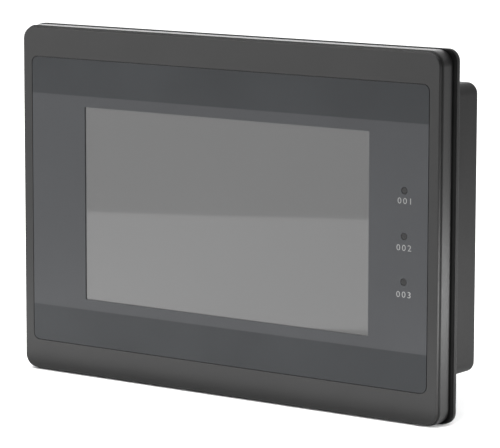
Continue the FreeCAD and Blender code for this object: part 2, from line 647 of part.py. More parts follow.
def make_lamps():
    """Three chip lamps on the board and the moulded light guide in front of them."""
    back = BOARD_FRONT - s.lamp_height
    group("status_leds", [
        block(f"lamp_{index}", span(across, s.lamp_length * 0.5), (back, BOARD_FRONT),
              span(up, s.lamp_width * 0.5))
        for index, (across, up) in enumerate(LAMPS)
    ])
    bar_low, bar_high = LAMPS[0][1] - s.guide_bar_reach, LAMPS[-1][1] + s.guide_bar_reach
    bar = block("guide_bar", span(s.lamp_x, s.guide_bar_half),
                (CHANNEL_FLOOR, CHANNEL_FLOOR + s.guide_bar), (bar_low, bar_high))
    pins = [rod(f"guide_{index}", "Y", spot, s.guide_radius, FRONT + s.guide_sink,
                back - s.guide_gap)
            for index, spot in enumerate(LAMPS)]
    node(fuse("light_guides", [bar] + pins), "light_guides")


# ---------------------------------------------------------------- rear


def make_housing_seal():
    """Rubber ring between the bezel and the rear housing."""
    body = start_body("housing_seal")
    outer_x, outer_z = FLANGE_X - s.seal_inset, FLANGE_Z - s.seal_inset
    inner_x, inner_z = outer_x - s.seal_width, outer_z - s.seal_width
    ring_layer(body, "seal_ring",
               ((-outer_x, outer_x), (-outer_z, outer_z), s.flange_corner - s.seal_inset),
               ((-inner_x, inner_x), (-inner_z, inner_z), s.ring_corner),
               BEZEL_BACK, FLANGE_FRONT)


def gasket_ring():
    """Outer and inner outline of the panel gasket, each as across, up, radius."""
    outer_x, outer_z = FLANGE_X - s.gasket_inset, FLANGE_Z - s.gasket_inset
    inner_x, inner_z = outer_x - s.gasket_width, outer_z - s.gasket_width
    return (((-outer_x, outer_x), (-outer_z, outer_z), s.gasket_width + s.ring_corner),
            ((-inner_x, inner_x), (-inner_z, inner_z), s.ring_corner))


def make_rear_housing():
    """Moulded box with its seat flange, screw towers, battery bay, ports and vents."""
    body = start_body("rear_housing")
    rounded_layer(body, "flange", (-FLANGE_X, FLANGE_X), (-FLANGE_Z, FLANGE_Z), s.flange_corner,
                  FLANGE_FRONT, SEAT)
    dress_edges(body, "Fillet", "flange_edge", s.flange_round,
                outer_rim(SEAT, FLANGE_X, FLANGE_Z))
    rounded_layer(body, "box", (-BOX_X, BOX_X), (-BOX_Z, BOX_Z), s.box_corner, SEAT, REAR)
    dress_edges(body, "Fillet", "box_rear_edge", s.box_edge, outer_rim(REAR, BOX_X, BOX_Z))
    inner_x, inner_z = BOX_X - s.wall, BOX_Z - s.wall
    rounded_layer(body, "hollow", (-inner_x, inner_x), (-inner_z, inner_z),
                  s.box_corner - s.wall, FLANGE_FRONT, REAR_INNER, cut=True)
    ring_layer(body, "gasket_groove", *gasket_ring(), SEAT - s.groove_depth, SEAT, cut=True)
    tower_sketch = start_sketch(body, "screw_towers", "XZ", s.post_end)
    draw_circles(tower_sketch, POSTS, s.tower_radius)
    extrude(body, tower_sketch, s.post_end, REAR_INNER)
    round_layer(body, "tower_holes", POSTS, s.long_screw + s.screw_play, s.post_end, REAR, cut=True)
    round_layer(body, "head_sinks", POSTS, s.long_head + s.screw_play, REAR - s.head_sink, REAR,
                cut=True)
    add_battery_bay(body)
    add_port_cutouts(body)
    add_clamp_slots(body)
    add_vents(body)


def add_battery_bay(body):
    """Opening in the rear wall with a thick collar, hinge bores, ledges and a finger notch."""
    collar_low, collar_high = REAR_INNER - s.bay_collar, REAR_INNER
    box_layer(body, "bay_collar", (s.bay_left - s.bay_collar, s.bay_right + s.bay_collar),
              (s.bay_low - s.bay_collar, s.bay_high + s.bay_collar), collar_low, collar_high)
    box_layer(body, "bay_opening", (s.bay_left, s.bay_right), (s.bay_low, s.bay_high),
              collar_low, REAR, cut=True)
    bore = start_sketch(body, "hinge_bore", "YZ", s.bay_left - s.hinge_pin_length)
    draw_circles(bore, [(HINGE_Y, HINGE_Z)], s.hinge_pin + s.hinge_play)
    extrude(body, bore, s.bay_left - s.hinge_pin_length, s.bay_right + s.hinge_pin_length, cut=True)
    ledge_top = REAR - s.door_sheet - s.ledge_gap
    for label, low, high in (("left", s.bay_left, s.bay_left + s.ledge_length),
                             ("right", s.bay_right - s.ledge_length, s.bay_right)):
        box_layer(body, f"ledge_{label}", (low, high), (s.bay_low, s.bay_low + s.ledge_width),
                  collar_low, ledge_top)
    middle = (s.bay_left + s.bay_right) * 0.5
    rounded_layer(body, "finger_notch", span(middle, s.ledge_length),
                  (s.bay_low - s.notch_drop, s.bay_low + s.overlap * 2), s.notch_corner,
                  REAR - s.notch_depth, REAR, cut=True)


def dee_corners(middle_x, middle_y, grow):
    """Corners of a D-shaped connector outline, grown or shrunk all round."""
    wide, narrow = s.dee_width * 0.5 + grow, s.dee_narrow * 0.5 + grow
    low, high = middle_y - s.dee_height * 0.5 - grow, middle_y + s.dee_height * 0.5 + grow
    return [(middle_x - narrow, low), (middle_x + narrow, low), (middle_x + wide, high),
            (middle_x - wide, high)]


def add_port_cutouts(body):
    """Holes through the bottom wall for the serial, device, host and supply ports."""
    low, high = -BOX_Z - s.overrun, FLOOR_INNER + s.overlap * 2
    dee = start_sketch(body, "serial_cutout", "XY", low)
    draw_polygon(dee, dee_corners(s.serial_x, s.serial_y, s.cutout_play))
    extrude(body, dee, low, high, cut=True)
    jacks = [(s.serial_x + s.jack_spread * side, s.serial_y) for side in SIDES]
    round_layer(body, "jack_holes", jacks, s.jack_shank + s.screw_play, low, high, cut=True,
                plane="XY")
    play = s.cutout_play
    base = BOARD_BACK + s.stand_off
    for name, middle, width, height in (
            ("device_cutout", s.device_x, s.device_width, s.device_height),
            ("host_cutout", s.host_x, s.host_width, s.host_height),
            ("supply_cutout", s.supply_x, s.socket_width, s.socket_height)):
        across = span(middle, width * 0.5 + play)
        box_layer(body, name, across, (base - play, base + height + play), low, high, cut=True,
                  plane="XY")


def add_clamp_slots(body):
    """Slots in the top and bottom walls that take the fixing clamps."""
    inner, outer = BOX_Z - s.wall - s.overlap, BOX_Z + s.overrun
    for label, low, high in (("top", inner, outer), ("bottom", -outer, -inner)):
        for side in SIDES:
            box_layer(body, f"clamp_slot_{label}_{side + 1}",
                      span(s.slot_x * side, s.slot_width * 0.5), (s.slot_low, s.slot_high),
                      low, high, cut=True, plane="XY")


def add_vents(body):
    """Cooling slots in the rear wall and in the top wall, each row as one linear pattern."""
    slit = s.vent_width * 0.5
    first = rounded_layer(body, "rear_vent", span(s.vent_x, s.vent_length * 0.5),
                          span(-s.vent_z, slit), slit * VENT_ROUNDING, REAR_INNER, REAR, cut=True)
    repeat(body, first, "rear_vents", "V_Axis", s.vent_z * 2, REAR_VENTS)
    low = BOX_Z - s.wall - s.overlap
    roof_sketch = start_sketch(body, "roof_vent", "XY", low)
    draw_rounded(roof_sketch, span(-s.roof_vent_x, slit),
                 (s.roof_vent_low, s.roof_vent_low + s.roof_vent), slit * VENT_ROUNDING)
    second = extrude(body, roof_sketch, low, BOX_Z + s.overrun, cut=True)
    repeat(body, second, "roof_vents", "H_Axis", s.roof_vent_x * 2, ROOF_VENTS)


def repeat(body, feature, name, axis, length, count):
    """Repeat a cut in a row along one of its sketch's axes."""
    pattern = body.newObject("PartDesign::LinearPattern", name)
    pattern.Originals = [feature]
    pattern.Direction = (feature.Profile[0], [axis])
    bind(pattern, "Length", length)
    pattern.Occurrences = count
    body.Tip = pattern
    before = feature.Shape.Volume
    doc.recompute()
    if body.Shape.Volume > before - LEAST_CHANGE:
        raise RuntimeError(f"{name} cuts nothing from {body.Label}")


def make_panel_gasket():
    """Foam ring in the flange's groove, drawn pressed flush as on a cabinet panel."""
    body = start_body("panel_gasket")
    ring_layer(body, "gasket_ring", *gasket_ring(), SEAT - s.groove_depth, SEAT)


def make_housing_screws():
    """Four long screws from the rear face into the bezel's posts."""
    head_low = REAR - s.head_sink
    head = (head_low, head_low + s.long_head_depth)
    group("housing_screws", [
        cross_screw(f"housing_{index}", spot, s.long_head, head,
                    s.long_screw - s.thread_play, s.tip_gap - s.long_screw_end)
        for index, spot in enumerate(POSTS)
    ])


def make_rating_plate():
    """Blank metal-foil plate on the rear face."""
    body = start_body("rating_plate")
    rounded_layer(body, "plate_outline", span(s.plate_x, s.plate_width * 0.5),
                  span(s.plate_z, s.plate_height * 0.5), s.plate_corner, REAR,
                  REAR + s.plate_sheet)


# ---------------------------------------------------------------- electronics


def make_main_board():
    """Circuit board with a tongue for the lamps, on four spacers, held by four screws."""
    body = start_body("main_board")
    half_x = s.board_width * 0.5
    outline = start_sketch(body, "board_outline", "XZ", BOARD_FRONT)
    draw_polygon(outline, [
        (-half_x, s.board_low), (half_x, s.board_low), (half_x, -s.tongue_half),
        (s.tongue_reach, -s.tongue_half), (s.tongue_reach, s.tongue_half),
        (half_x, s.tongue_half), (half_x, s.board_high), (-half_x, s.board_high)])
    extrude(body, outline, BOARD_FRONT, BOARD_BACK)
    round_layer(body, "board_holes", SPACERS, s.board_screw + s.screw_play, BOARD_FRONT,
                BOARD_BACK, cut=True)
    group("board_spacers", [
        cut_away(f"spacer_{index}",
                 rod(f"spacer_body_{index}", "Y", spot, s.spacer_radius, BRACKET_BACK, BOARD_FRONT),
                 [rod(f"spacer_bore_{index}", "Y", spot, s.board_screw, BRACKET_BACK, BOARD_FRONT)])
        for index, spot in enumerate(SPACERS)
    ])
    head = (BOARD_BACK, BOARD_BACK + s.board_head_depth)
    group("board_screws", [
        cross_screw(f"board_{index}", spot, s.board_head, head,
                    s.board_screw - s.thread_play, BRACKET_BACK + s.tip_gap)
        for index, spot in enumerate(SPACERS)
    ])


def make_chips():
    """Processor, memories, coil, capacitors and buzzer on the board's rear side."""
    def chip(name, middle_x, middle_z, half_x, half_z, height):
        return block(name, span(middle_x, half_x), (BOARD_BACK, BOARD_BACK + height),
                     span(middle_z, half_z))

    def can(name, middle_x, middle_z, radius, low, high):
        return rod(name, "Y", (middle_x, middle_z), radius, BOARD_BACK + low, BOARD_BACK + high)

    node(chip("processor", s.processor_x, s.processor_z, s.processor_half, s.processor_half,
              s.processor_height), "processor")
    group("memory_chips", [
        chip(f"memory_{index}", s.memory_x, s.memory_z + s.memory_pitch * step, s.memory_half_x,
             s.memory_half_z, s.memory_height)
        for index, step in enumerate((0.5, -0.5))
    ])
    node(chip("power_inductor", s.inductor_x, s.inductor_z, s.inductor_half, s.inductor_half,
              s.inductor_height), "power_inductor")
    group("filter_capacitors", [
        can(f"capacitor_{index}", s.capacitor_x + s.capacitor_pitch * step, s.capacitor_z,
            s.capacitor_radius, 0, s.capacitor_height)
        for index, step in enumerate((-0.5, 0.5))
    ])
    shell = can("buzzer_can", s.buzzer_x, s.buzzer_z, s.buzzer_radius, 0, s.buzzer_height)
    mouth = can("buzzer_hole", s.buzzer_x, s.buzzer_z, s.buzzer_mouth,
                s.buzzer_height - s.buzzer_mouth_depth, s.buzzer_height + s.overrun)
    node(cut_away("buzzer", shell, [mouth]), "buzzer")


def make_serial_port():
    """Nine-pole D-shaped port: steel shell, insulator, contacts and two jack nuts."""
    plate_low, plate_high = FLOOR_INNER, FLOOR_INNER + s.serial_plate
    reach = plate_low - s.dee_reach
    jacks = [(s.serial_x + s.jack_spread * side, s.serial_y) for side in SIDES]
    shell = start_body("serial_shell")
    box_layer(shell, "serial_plate_outline", span(s.serial_x, s.serial_plate_width * 0.5),
              span(s.serial_y, s.serial_plate_height * 0.5), plate_low, plate_high, plane="XY")
    tube = start_sketch(shell, "serial_tube", "XY", reach)
    draw_polygon(tube, dee_corners(s.serial_x, s.serial_y, as_measure(0)))
    extrude(shell, tube, reach, plate_high)
    hollow = start_sketch(shell, "serial_tube_hollow", "XY", reach)
    draw_polygon(hollow, dee_corners(s.serial_x, s.serial_y, -s.dee_sheet))
    extrude(shell, hollow, reach, plate_high, cut=True)
    round_layer(shell, "serial_plate_holes", jacks, s.jack_shank + s.screw_play, plate_low,
                plate_high, cut=True, plane="XY")

    insulator = start_body("serial_insulator")
    face = reach + s.insulator_sink
    front = start_sketch(insulator, "insulator_front", "XY", face)
    draw_polygon(front, dee_corners(s.serial_x, s.serial_y, -s.dee_sheet))
    extrude(insulator, front, face, plate_high)
    box_layer(insulator, "insulator_block", span(s.serial_x, s.insulator_half),
              span(s.serial_y, s.insulator_height_half), plate_high,
              plate_high + s.insulator_reach, plane="XY")
    contacts = [(s.serial_x + s.contact_pitch * step, s.serial_y + s.contact_row * 0.5)
                for step in (-2, -1, 0, 1, 2)]
    contacts += [(s.serial_x + s.contact_pitch * step, s.serial_y - s.contact_row * 0.5)
                 for step in (-1.5, -0.5, 0.5, 1.5)]
    contact_end = plate_high + s.contact_reach
    round_layer(insulator, "insulator_holes", contacts, s.contact_radius + s.contact_play, face,
                contact_end, cut=True, plane="XY")
    tip = reach + s.contact_sink
    group("serial_contacts", [
        cut_away(f"contact_{index}",
                 rod(f"contact_rod_{index}", "Z", spot, s.contact_radius, tip, contact_end),
                 [rod(f"contact_bore_{index}", "Z", spot, s.contact_bore, tip,
                      tip + s.contact_bore_depth)])
        for index, spot in enumerate(contacts)
    ])
    group("jack_nuts", [jack_nut(index, spot) for index, spot in enumerate(jacks)])


def jack_nut(index, spot):
    """Six-sided nut outside the wall with a plain shank through the wall and the port's plate."""
    outer = -BOX_Z - s.jack_length
    prism = doc.addObject("Part::Prism", f"jack_hex_{index}")
    prism.Polygon = 6
    bind(prism, "Circumradius", s.jack_flat * (2 / math.sqrt(3)))
    bind(prism, "Height", s.jack_length)
    bind(prism, "Placement.Base.x", spot[0])
    bind(prism, "Placement.Base.y", spot[1])
    bind(prism, "Placement.Base.z", outer)
    shank = rod(f"jack_shank_{index}", "Z", spot, s.jack_shank, -BOX_Z - s.overlap,
                FLOOR_INNER + s.jack_reach)
    thread = rod(f"jack_thread_{index}", "Z", spot, s.jack_thread, outer,
                 outer + s.jack_length + s.overrun)
    return cut_away(f"jack_{index}", fuse(f"jack_blank_{index}", [prism, shank]), [thread])


def make_usb_ports():
    """Square device port and flat host port, each a steel shell with a plastic insert."""
    mouth = -BOX_Z - s.usb_proud
    base = BOARD_BACK + s.stand_off
    metal = s.usb_sheet
    for name, middle, width, height, length in (
            ("usb_device", s.device_x, s.device_width, s.device_height, s.device_length),
            ("usb_host", s.host_x, s.host_width, s.host_height, s.host_length)):
        half, top, back = width * 0.5, base + height, mouth + length
        outer = block(f"{name}_can", span(middle, half), (base, top), (mouth, back))
        inner = block(f"{name}_inside", span(middle, half - metal), (base + metal, top - metal),
                      (mouth - s.overrun, back - metal))
        node(cut_away(f"{name}_shell", outer, [inner]), f"{name}_shell")

    half, back = s.device_width * 0.5 - metal, mouth + s.device_length - metal
    level = base + s.device_height * 0.5
    body = block("device_body", span(s.device_x, half), span(level, s.device_height * 0.5 - metal),
                 (mouth + s.device_insert_sink, back))
    pocket_end = mouth + s.device_mouth_depth
    pocket = block("device_pocket", span(s.device_x, s.device_mouth_width * 0.5),
                   span(level, s.device_mouth_height * 0.5), (mouth, pocket_end))
    tongue = block("device_tongue", span(s.device_x, s.device_tongue_width * 0.5),
                   span(level, s.device_tongue_height * 0.5),
                   (mouth + s.device_tongue_sink, pocket_end + s.overlap))
    hollow = cut_away("device_hollow", body, [pocket])
    node(fuse("usb_device_insert", [hollow, tongue]), "usb_device_insert")

    half, back = s.host_width * 0.5 - metal, mouth + s.host_length - metal
    base_inner = base + metal
    block_low = back - s.host_block
    rear_block = block("host_block", span(s.host_x, half),
                       (base_inner, base + s.host_height - metal), (block_low, back))
    blade_low = base_inner + s.host_tongue_rise
    blade = block("host_blade", span(s.host_x, s.host_tongue_width * 0.5),
                  (blade_low, blade_low + s.host_tongue),
                  (mouth + s.host_tongue_sink, block_low + s.overlap))
    node(fuse("usb_host_insert", [rear_block, blade]), "usb_host_insert")


def make_supply_terminal():
    """Three-pole socket and its pull-off plug with wire mouths and clamp screws."""
    base = BOARD_BACK + s.stand_off
    half, top = s.socket_width * 0.5, base + s.socket_height
    mouth = s.socket_sink - BOX_Z
    back = mouth + s.socket_length
    floor = back - s.socket_back
    cavity = s.socket_wall
    poles = [s.supply_x + s.pole_pitch * step for step in (-1, 0, 1)]
    row = base + s.pin_row
    pin_half = s.pin * 0.5
    socket = cut_away("power_socket", block("socket_block", span(s.supply_x, half), (base, top),
                                            (mouth, back)),
                      [block("socket_cavity", span(s.supply_x, half - cavity),
                             (base + cavity, top - cavity), (mouth - s.overrun, floor))]
                      + [block(f"socket_slot_{index}", span(pole, pin_half), span(row, pin_half),
                               (floor - s.overrun, back + s.overrun))
                         for index, pole in enumerate(poles)])
    node(socket, "power_socket")
    group("power_pins", [
        block(f"power_pin_{index}", span(pole, pin_half), span(row, pin_half),
              (mouth + s.pin_sink, back + s.pin_tail))
        for index, pole in enumerate(poles)
    ])

    plug_half = half - cavity - s.plug_play
    low_y, high_y = base + cavity + s.plug_play, top - cavity - s.plug_play
    outer_top = -BOX_Z - s.plug_gap
    outer_low = outer_top - s.plug_body
    tip = floor - s.plug_play
    clamp_z = outer_low + s.plug_body * 0.5
    plug = start_body("power_plug")
    box_layer(plug, "plug_body", span(s.supply_x, plug_half + s.plug_shoulder),
              (low_y, high_y + s.plug_rise), outer_low, outer_top, plane="XY")
    box_layer(plug, "plug_tongue", span(s.supply_x, plug_half), (low_y, high_y), outer_top, tip,
              plane="XY")
    crest = high_y + s.plug_rise
    dress_edges(plug, "Chamfer", "plug_crest", s.plug_chamfer,
                lambda edge: abs(edge.BoundBox.YMin - crest.number) < NEAR
                and edge.BoundBox.XLength > s.plug_body.number)
    pin_room = start_sketch(plug, "plug_pin_rooms", "XY", mouth)
    for pole in poles:
        draw_box(pin_room, span(pole, pin_half + s.pin_play), span(row, pin_half + s.pin_play))
    extrude(plug, pin_room, mouth, tip, cut=True)
    wires = [(pole, row) for pole in poles]
    round_layer(plug, "plug_wire_mouths", wires, s.wire_radius, outer_low,
                clamp_z - s.wire_stop, cut=True, plane="XY")
    screw_high = crest - s.clamp_sink
    screw_low = screw_high - s.clamp_length
    bores = [(pole, clamp_z) for pole in poles]
    round_layer(plug, "plug_screw_bores", bores, s.clamp_radius + s.clamp_play,
                screw_low - s.clamp_gap, crest, cut=True)
    for index, pole in enumerate(poles, start=1):
        name = f"terminal_screw_{index}"
        blank = rod(f"{name}_blank", "Y", (pole, clamp_z), s.clamp_radius, screw_low, screw_high)
        slit = block(f"{name}_slit", span(pole, s.clamp_radius + s.overrun),
                     (screw_high - s.clamp_slot_depth, screw_high + s.overrun),
                     span(clamp_z, s.clamp_slot * 0.5))
        node(cut_away(name, blank, [slit]), name)


def make_battery_parts():
    """Hinged door, coin cell in its holder and the two-way switch block beside it."""
    door = start_body("battery_door")
    left, right = s.bay_left + s.door_gap, s.bay_right - s.door_gap
    door_low = REAR - s.door_sheet
    box_layer(door, "door_plate", (left, right), (s.bay_low + s.door_gap, HINGE_Z), door_low, REAR)
    barrel = start_sketch(door, "door_barrel", "YZ", left)
    draw_circles(barrel, [(HINGE_Y, HINGE_Z)], s.hinge_sink)
    extrude(door, barrel, left, right)
    pin_reach = s.hinge_pin_length - s.hinge_end_play
    pins = start_sketch(door, "door_pins", "YZ", left - pin_reach)
    draw_circles(pins, [(HINGE_Y, HINGE_Z)], s.hinge_pin)
    extrude(door, pins, left - pin_reach, right + pin_reach)
    for index in range(GRIP_RIBS):
        rib = s.bay_low + s.grip_start + s.grip_pitch * index
        box_layer(door, f"grip_rib_{index}", span((left + right) * 0.5, s.grip_half),
                  (rib, rib + s.grip_width), REAR - s.grip_depth, REAR, cut=True)

    spot = (s.cell_x, s.cell_z)
    cell_low = BOARD_BACK + s.holder_floor
    holder_top = BOARD_BACK + s.holder_height
    cup = rod("holder_cup", "Y", spot, s.holder_radius, BOARD_BACK, holder_top)
    room = (cell_low, holder_top + s.overrun)
    seat = rod("holder_seat", "Y", spot, s.cell_radius + s.holder_play, *room)
    notch = block("holder_gap", span(s.cell_x, s.holder_notch_half), room,
                  (s.cell_z + s.holder_notch, s.cell_z + s.holder_radius + s.overrun))
    node(cut_away("battery_holder", cup, [seat, notch]), "battery_holder")
    cell = fuse("coin_cell", [
        rod("cell_can", "Y", spot, s.cell_radius, cell_low + s.cell_step,
            cell_low + s.cell_thickness),
        rod("cell_cap", "Y", spot, s.cell_radius - s.cell_rim, cell_low,
            cell_low + s.cell_step + s.overlap)])
    node(cell, "coin_cell")

    switch_top = BOARD_BACK + s.switch_height
    slot_low = switch_top - s.slider_height
    lanes = [s.switch_x + s.slider_pitch * step for step in (-0.5, 0.5)]
    lane_half_x = s.slider_width * 0.5 + s.slider_play
    lane_half_z = (s.slider_length + s.slider_travel) * 0.5 + s.slider_play
    shell = block("switch_shell", span(s.switch_x, s.switch_width * 0.5), (BOARD_BACK, switch_top),
                  span(s.switch_z, s.switch_length * 0.5))
    lanes_cut = [block(f"switch_lane_{index}", span(lane, lane_half_x),
                       (slot_low, switch_top + s.overrun), span(s.switch_z, lane_half_z))
                 for index, lane in enumerate(lanes)]
    node(cut_away("switch_block", shell, lanes_cut), "switch_block")
    rest = s.switch_z - s.slider_travel * 0.5
    for index, lane in enumerate(lanes, start=1):
        name = f"switch_slider_{index}"
        slider = block(name, span(lane, s.slider_width * 0.5),
                       (slot_low + s.slider_play, switch_top + s.slider_proud),
                       span(rest, s.slider_length * 0.5))
        node(slider, name)


def check_and_export():
    """Stop on any failed object or bad shape, then write one STEP file for each sub-part."""
    doc.recompute()
    for item in doc.Objects:
        if any(word in item.State for word in ("Invalid", "Error")):
            raise RuntimeError(f"{item.Label} failed: {item.State}")
    os.makedirs("parts", exist_ok=True)
    for item in nodes:
        shape = item.Shape
        if shape.isNull() or not shape.isValid():
            raise RuntimeError(f"{item.Label} has no valid shape")
        shape.exportStep(os.path.join("parts", f"{item.Label}.step"))
        print(f"{item.Label}: {len(shape.Solids)} solid(s), {shape.Volume:.1f} mm3")
    print(f"{len(nodes)} sub-parts written")


make_front_bezel()
make_front_overlay()
make_touch_screen()
make_display_module()
make_display_bracket()
make_flat_cables()
make_lamps()
make_housing_seal()
make_rear_housing()
make_panel_gasket()
make_housing_screws()
make_rating_plate()
make_main_board()
make_chips()
make_serial_port()
make_usb_ports()
make_supply_terminal()
make_battery_parts()
check_and_export()
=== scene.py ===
"""Touch panel for a control cabinet: finishes, soft rings, printed marks, studio and camera."""
import logging
import math
from dataclasses import dataclass, field
from enum import Enum

import bpy
from mathutils import Matrix, Vector


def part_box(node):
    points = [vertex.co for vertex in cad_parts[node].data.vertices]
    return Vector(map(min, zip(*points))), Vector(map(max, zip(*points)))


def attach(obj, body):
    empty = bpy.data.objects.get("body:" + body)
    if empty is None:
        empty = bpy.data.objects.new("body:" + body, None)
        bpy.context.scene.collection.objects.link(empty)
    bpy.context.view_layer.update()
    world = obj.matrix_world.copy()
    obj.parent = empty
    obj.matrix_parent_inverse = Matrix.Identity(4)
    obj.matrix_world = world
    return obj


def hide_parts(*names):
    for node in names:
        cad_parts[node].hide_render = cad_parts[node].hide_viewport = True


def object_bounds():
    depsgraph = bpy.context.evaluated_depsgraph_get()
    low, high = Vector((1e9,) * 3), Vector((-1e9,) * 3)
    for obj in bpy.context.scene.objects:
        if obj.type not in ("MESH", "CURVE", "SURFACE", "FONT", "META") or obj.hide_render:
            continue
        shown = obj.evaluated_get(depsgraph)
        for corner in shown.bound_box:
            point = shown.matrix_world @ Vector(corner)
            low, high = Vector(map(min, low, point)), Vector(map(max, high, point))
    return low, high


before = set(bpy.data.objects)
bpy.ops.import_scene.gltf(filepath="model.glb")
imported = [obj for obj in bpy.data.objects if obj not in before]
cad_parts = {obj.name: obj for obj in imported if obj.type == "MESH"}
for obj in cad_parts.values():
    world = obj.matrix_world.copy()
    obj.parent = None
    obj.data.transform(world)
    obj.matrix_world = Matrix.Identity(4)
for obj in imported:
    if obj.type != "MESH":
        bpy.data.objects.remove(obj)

LOG = logging.getLogger("touch_panel")
CAD_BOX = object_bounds()
MM = 0.001
WELD = 0.002 * MM
INK_LIFT = 0.005 * MM
FLOOR_GAP = 0.05 * MM
ACROSS, INTO_CABINET, UPWARD = Vector((1, 0, 0)), Vector((0, 1, 0)), Vector((0, 0, 1))

Material = bpy.types.Material
Node = bpy.types.Node
NodeTree = bpy.types.NodeTree
Piece = bpy.types.Object
Socket = bpy.types.NodeSocket


# ------------------------------------------------------------------ helpers

def linear(hex_colour: str) -> tuple[float, float, float, float]:
    """Turns an sRGB hex colour to the linear RGBA that the shaders take.

    Args:
        hex_colour: Six hex digits with a leading #.

    Returns:
        Linear red, green, blue and an alpha of one.
    """
    channels = [int(hex_colour[start:start + 2], 16) / 255 for start in (1, 3, 5)]
    red, green, blue = (c / 12.92 if c <= 0.04045 else ((c + 0.055) / 1.055) ** 2.4
                        for c in channels)
    return red, green, blue, 1.0


def add_node(tree: NodeTree, kind: str, settings: dict | None = None,
             links: dict | None = None) -> Node:
    """Adds one shader node, sets it up and feeds its inputs.

    Args:
        tree: Node tree that gets the node.
        kind: Blender's type name of the node.
        settings: Properties by name, or input values by socket name or number.
        links: Output sockets of other nodes, by the input that each one feeds.

    Returns:
        The new node.
    """
    node = tree.nodes.new(kind)
    for key, value in (settings or {}).items():
        if isinstance(key, str) and hasattr(node, key):
            setattr(node, key, value)
        else:
            node.inputs[key].default_value = value
    for key, output in (links or {}).items():
        tree.links.new(output, node.inputs[key])
    return node


def start_piece(name: str) -> Piece:
    """Names the primitive that was just added and opens it in edit mode, all selected."""
    piece = bpy.context.object
    piece.name = name
    bpy.ops.object.mode_set(mode="EDIT")
    bpy.ops.mesh.select_all(action="SELECT")
    return piece


def clear_selection() -> None:
    """Leaves nothing selected, because every operator acts on all that is."""
    bpy.ops.object.select_all(action="DESELECT")


def finish_piece(piece: Piece, material: Material, smooth_angle: float = 35.0) -> Piece:
    """Closes a piece: sound normals, smooth shading, place kept in the mesh, one material.

    Args:
        piece: The piece, in edit or object mode.
        material: Its finish.
        smooth_angle: Edges flatter than this many degrees shade smooth.

    Returns:
        The same piece, riding on the housing.
    """
    if bpy.context.mode != "EDIT_MESH":
        clear_selection()
        piece.select_set(True)
        bpy.context.view_layer.objects.active = piece
        bpy.ops.object.mode_set(mode="EDIT")
    bpy.ops.mesh.select_all(action="SELECT")
    bpy.ops.mesh.remove_doubles(threshold=WELD)
    bpy.ops.mesh.normals_make_consistent(inside=False)
    bpy.ops.object.mode_set(mode="OBJECT")
    bpy.ops.object.transform_apply(location=True, rotation=True, scale=True)
    bpy.ops.object.shade_smooth_by_angle(angle=math.radians(smooth_angle))
    piece.data.materials.clear()
    piece.data.materials.append(material)
    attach(piece, "housing")
    LOG.info("built %s", piece.name)
    return piece


def dress(material: Material, *nodes: str) -> None:
    """Gives carried-over CAD nodes their finish.

    Args:
        material: The finish.
        nodes: Names of the CAD nodes.
    """
    for name in nodes:
        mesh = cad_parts[name].data
        mesh.materials.clear()
        mesh.materials.append(material)
        LOG.info("dressed %s in %s", name, material.name)


# ------------------------------------------------------------------ finishes

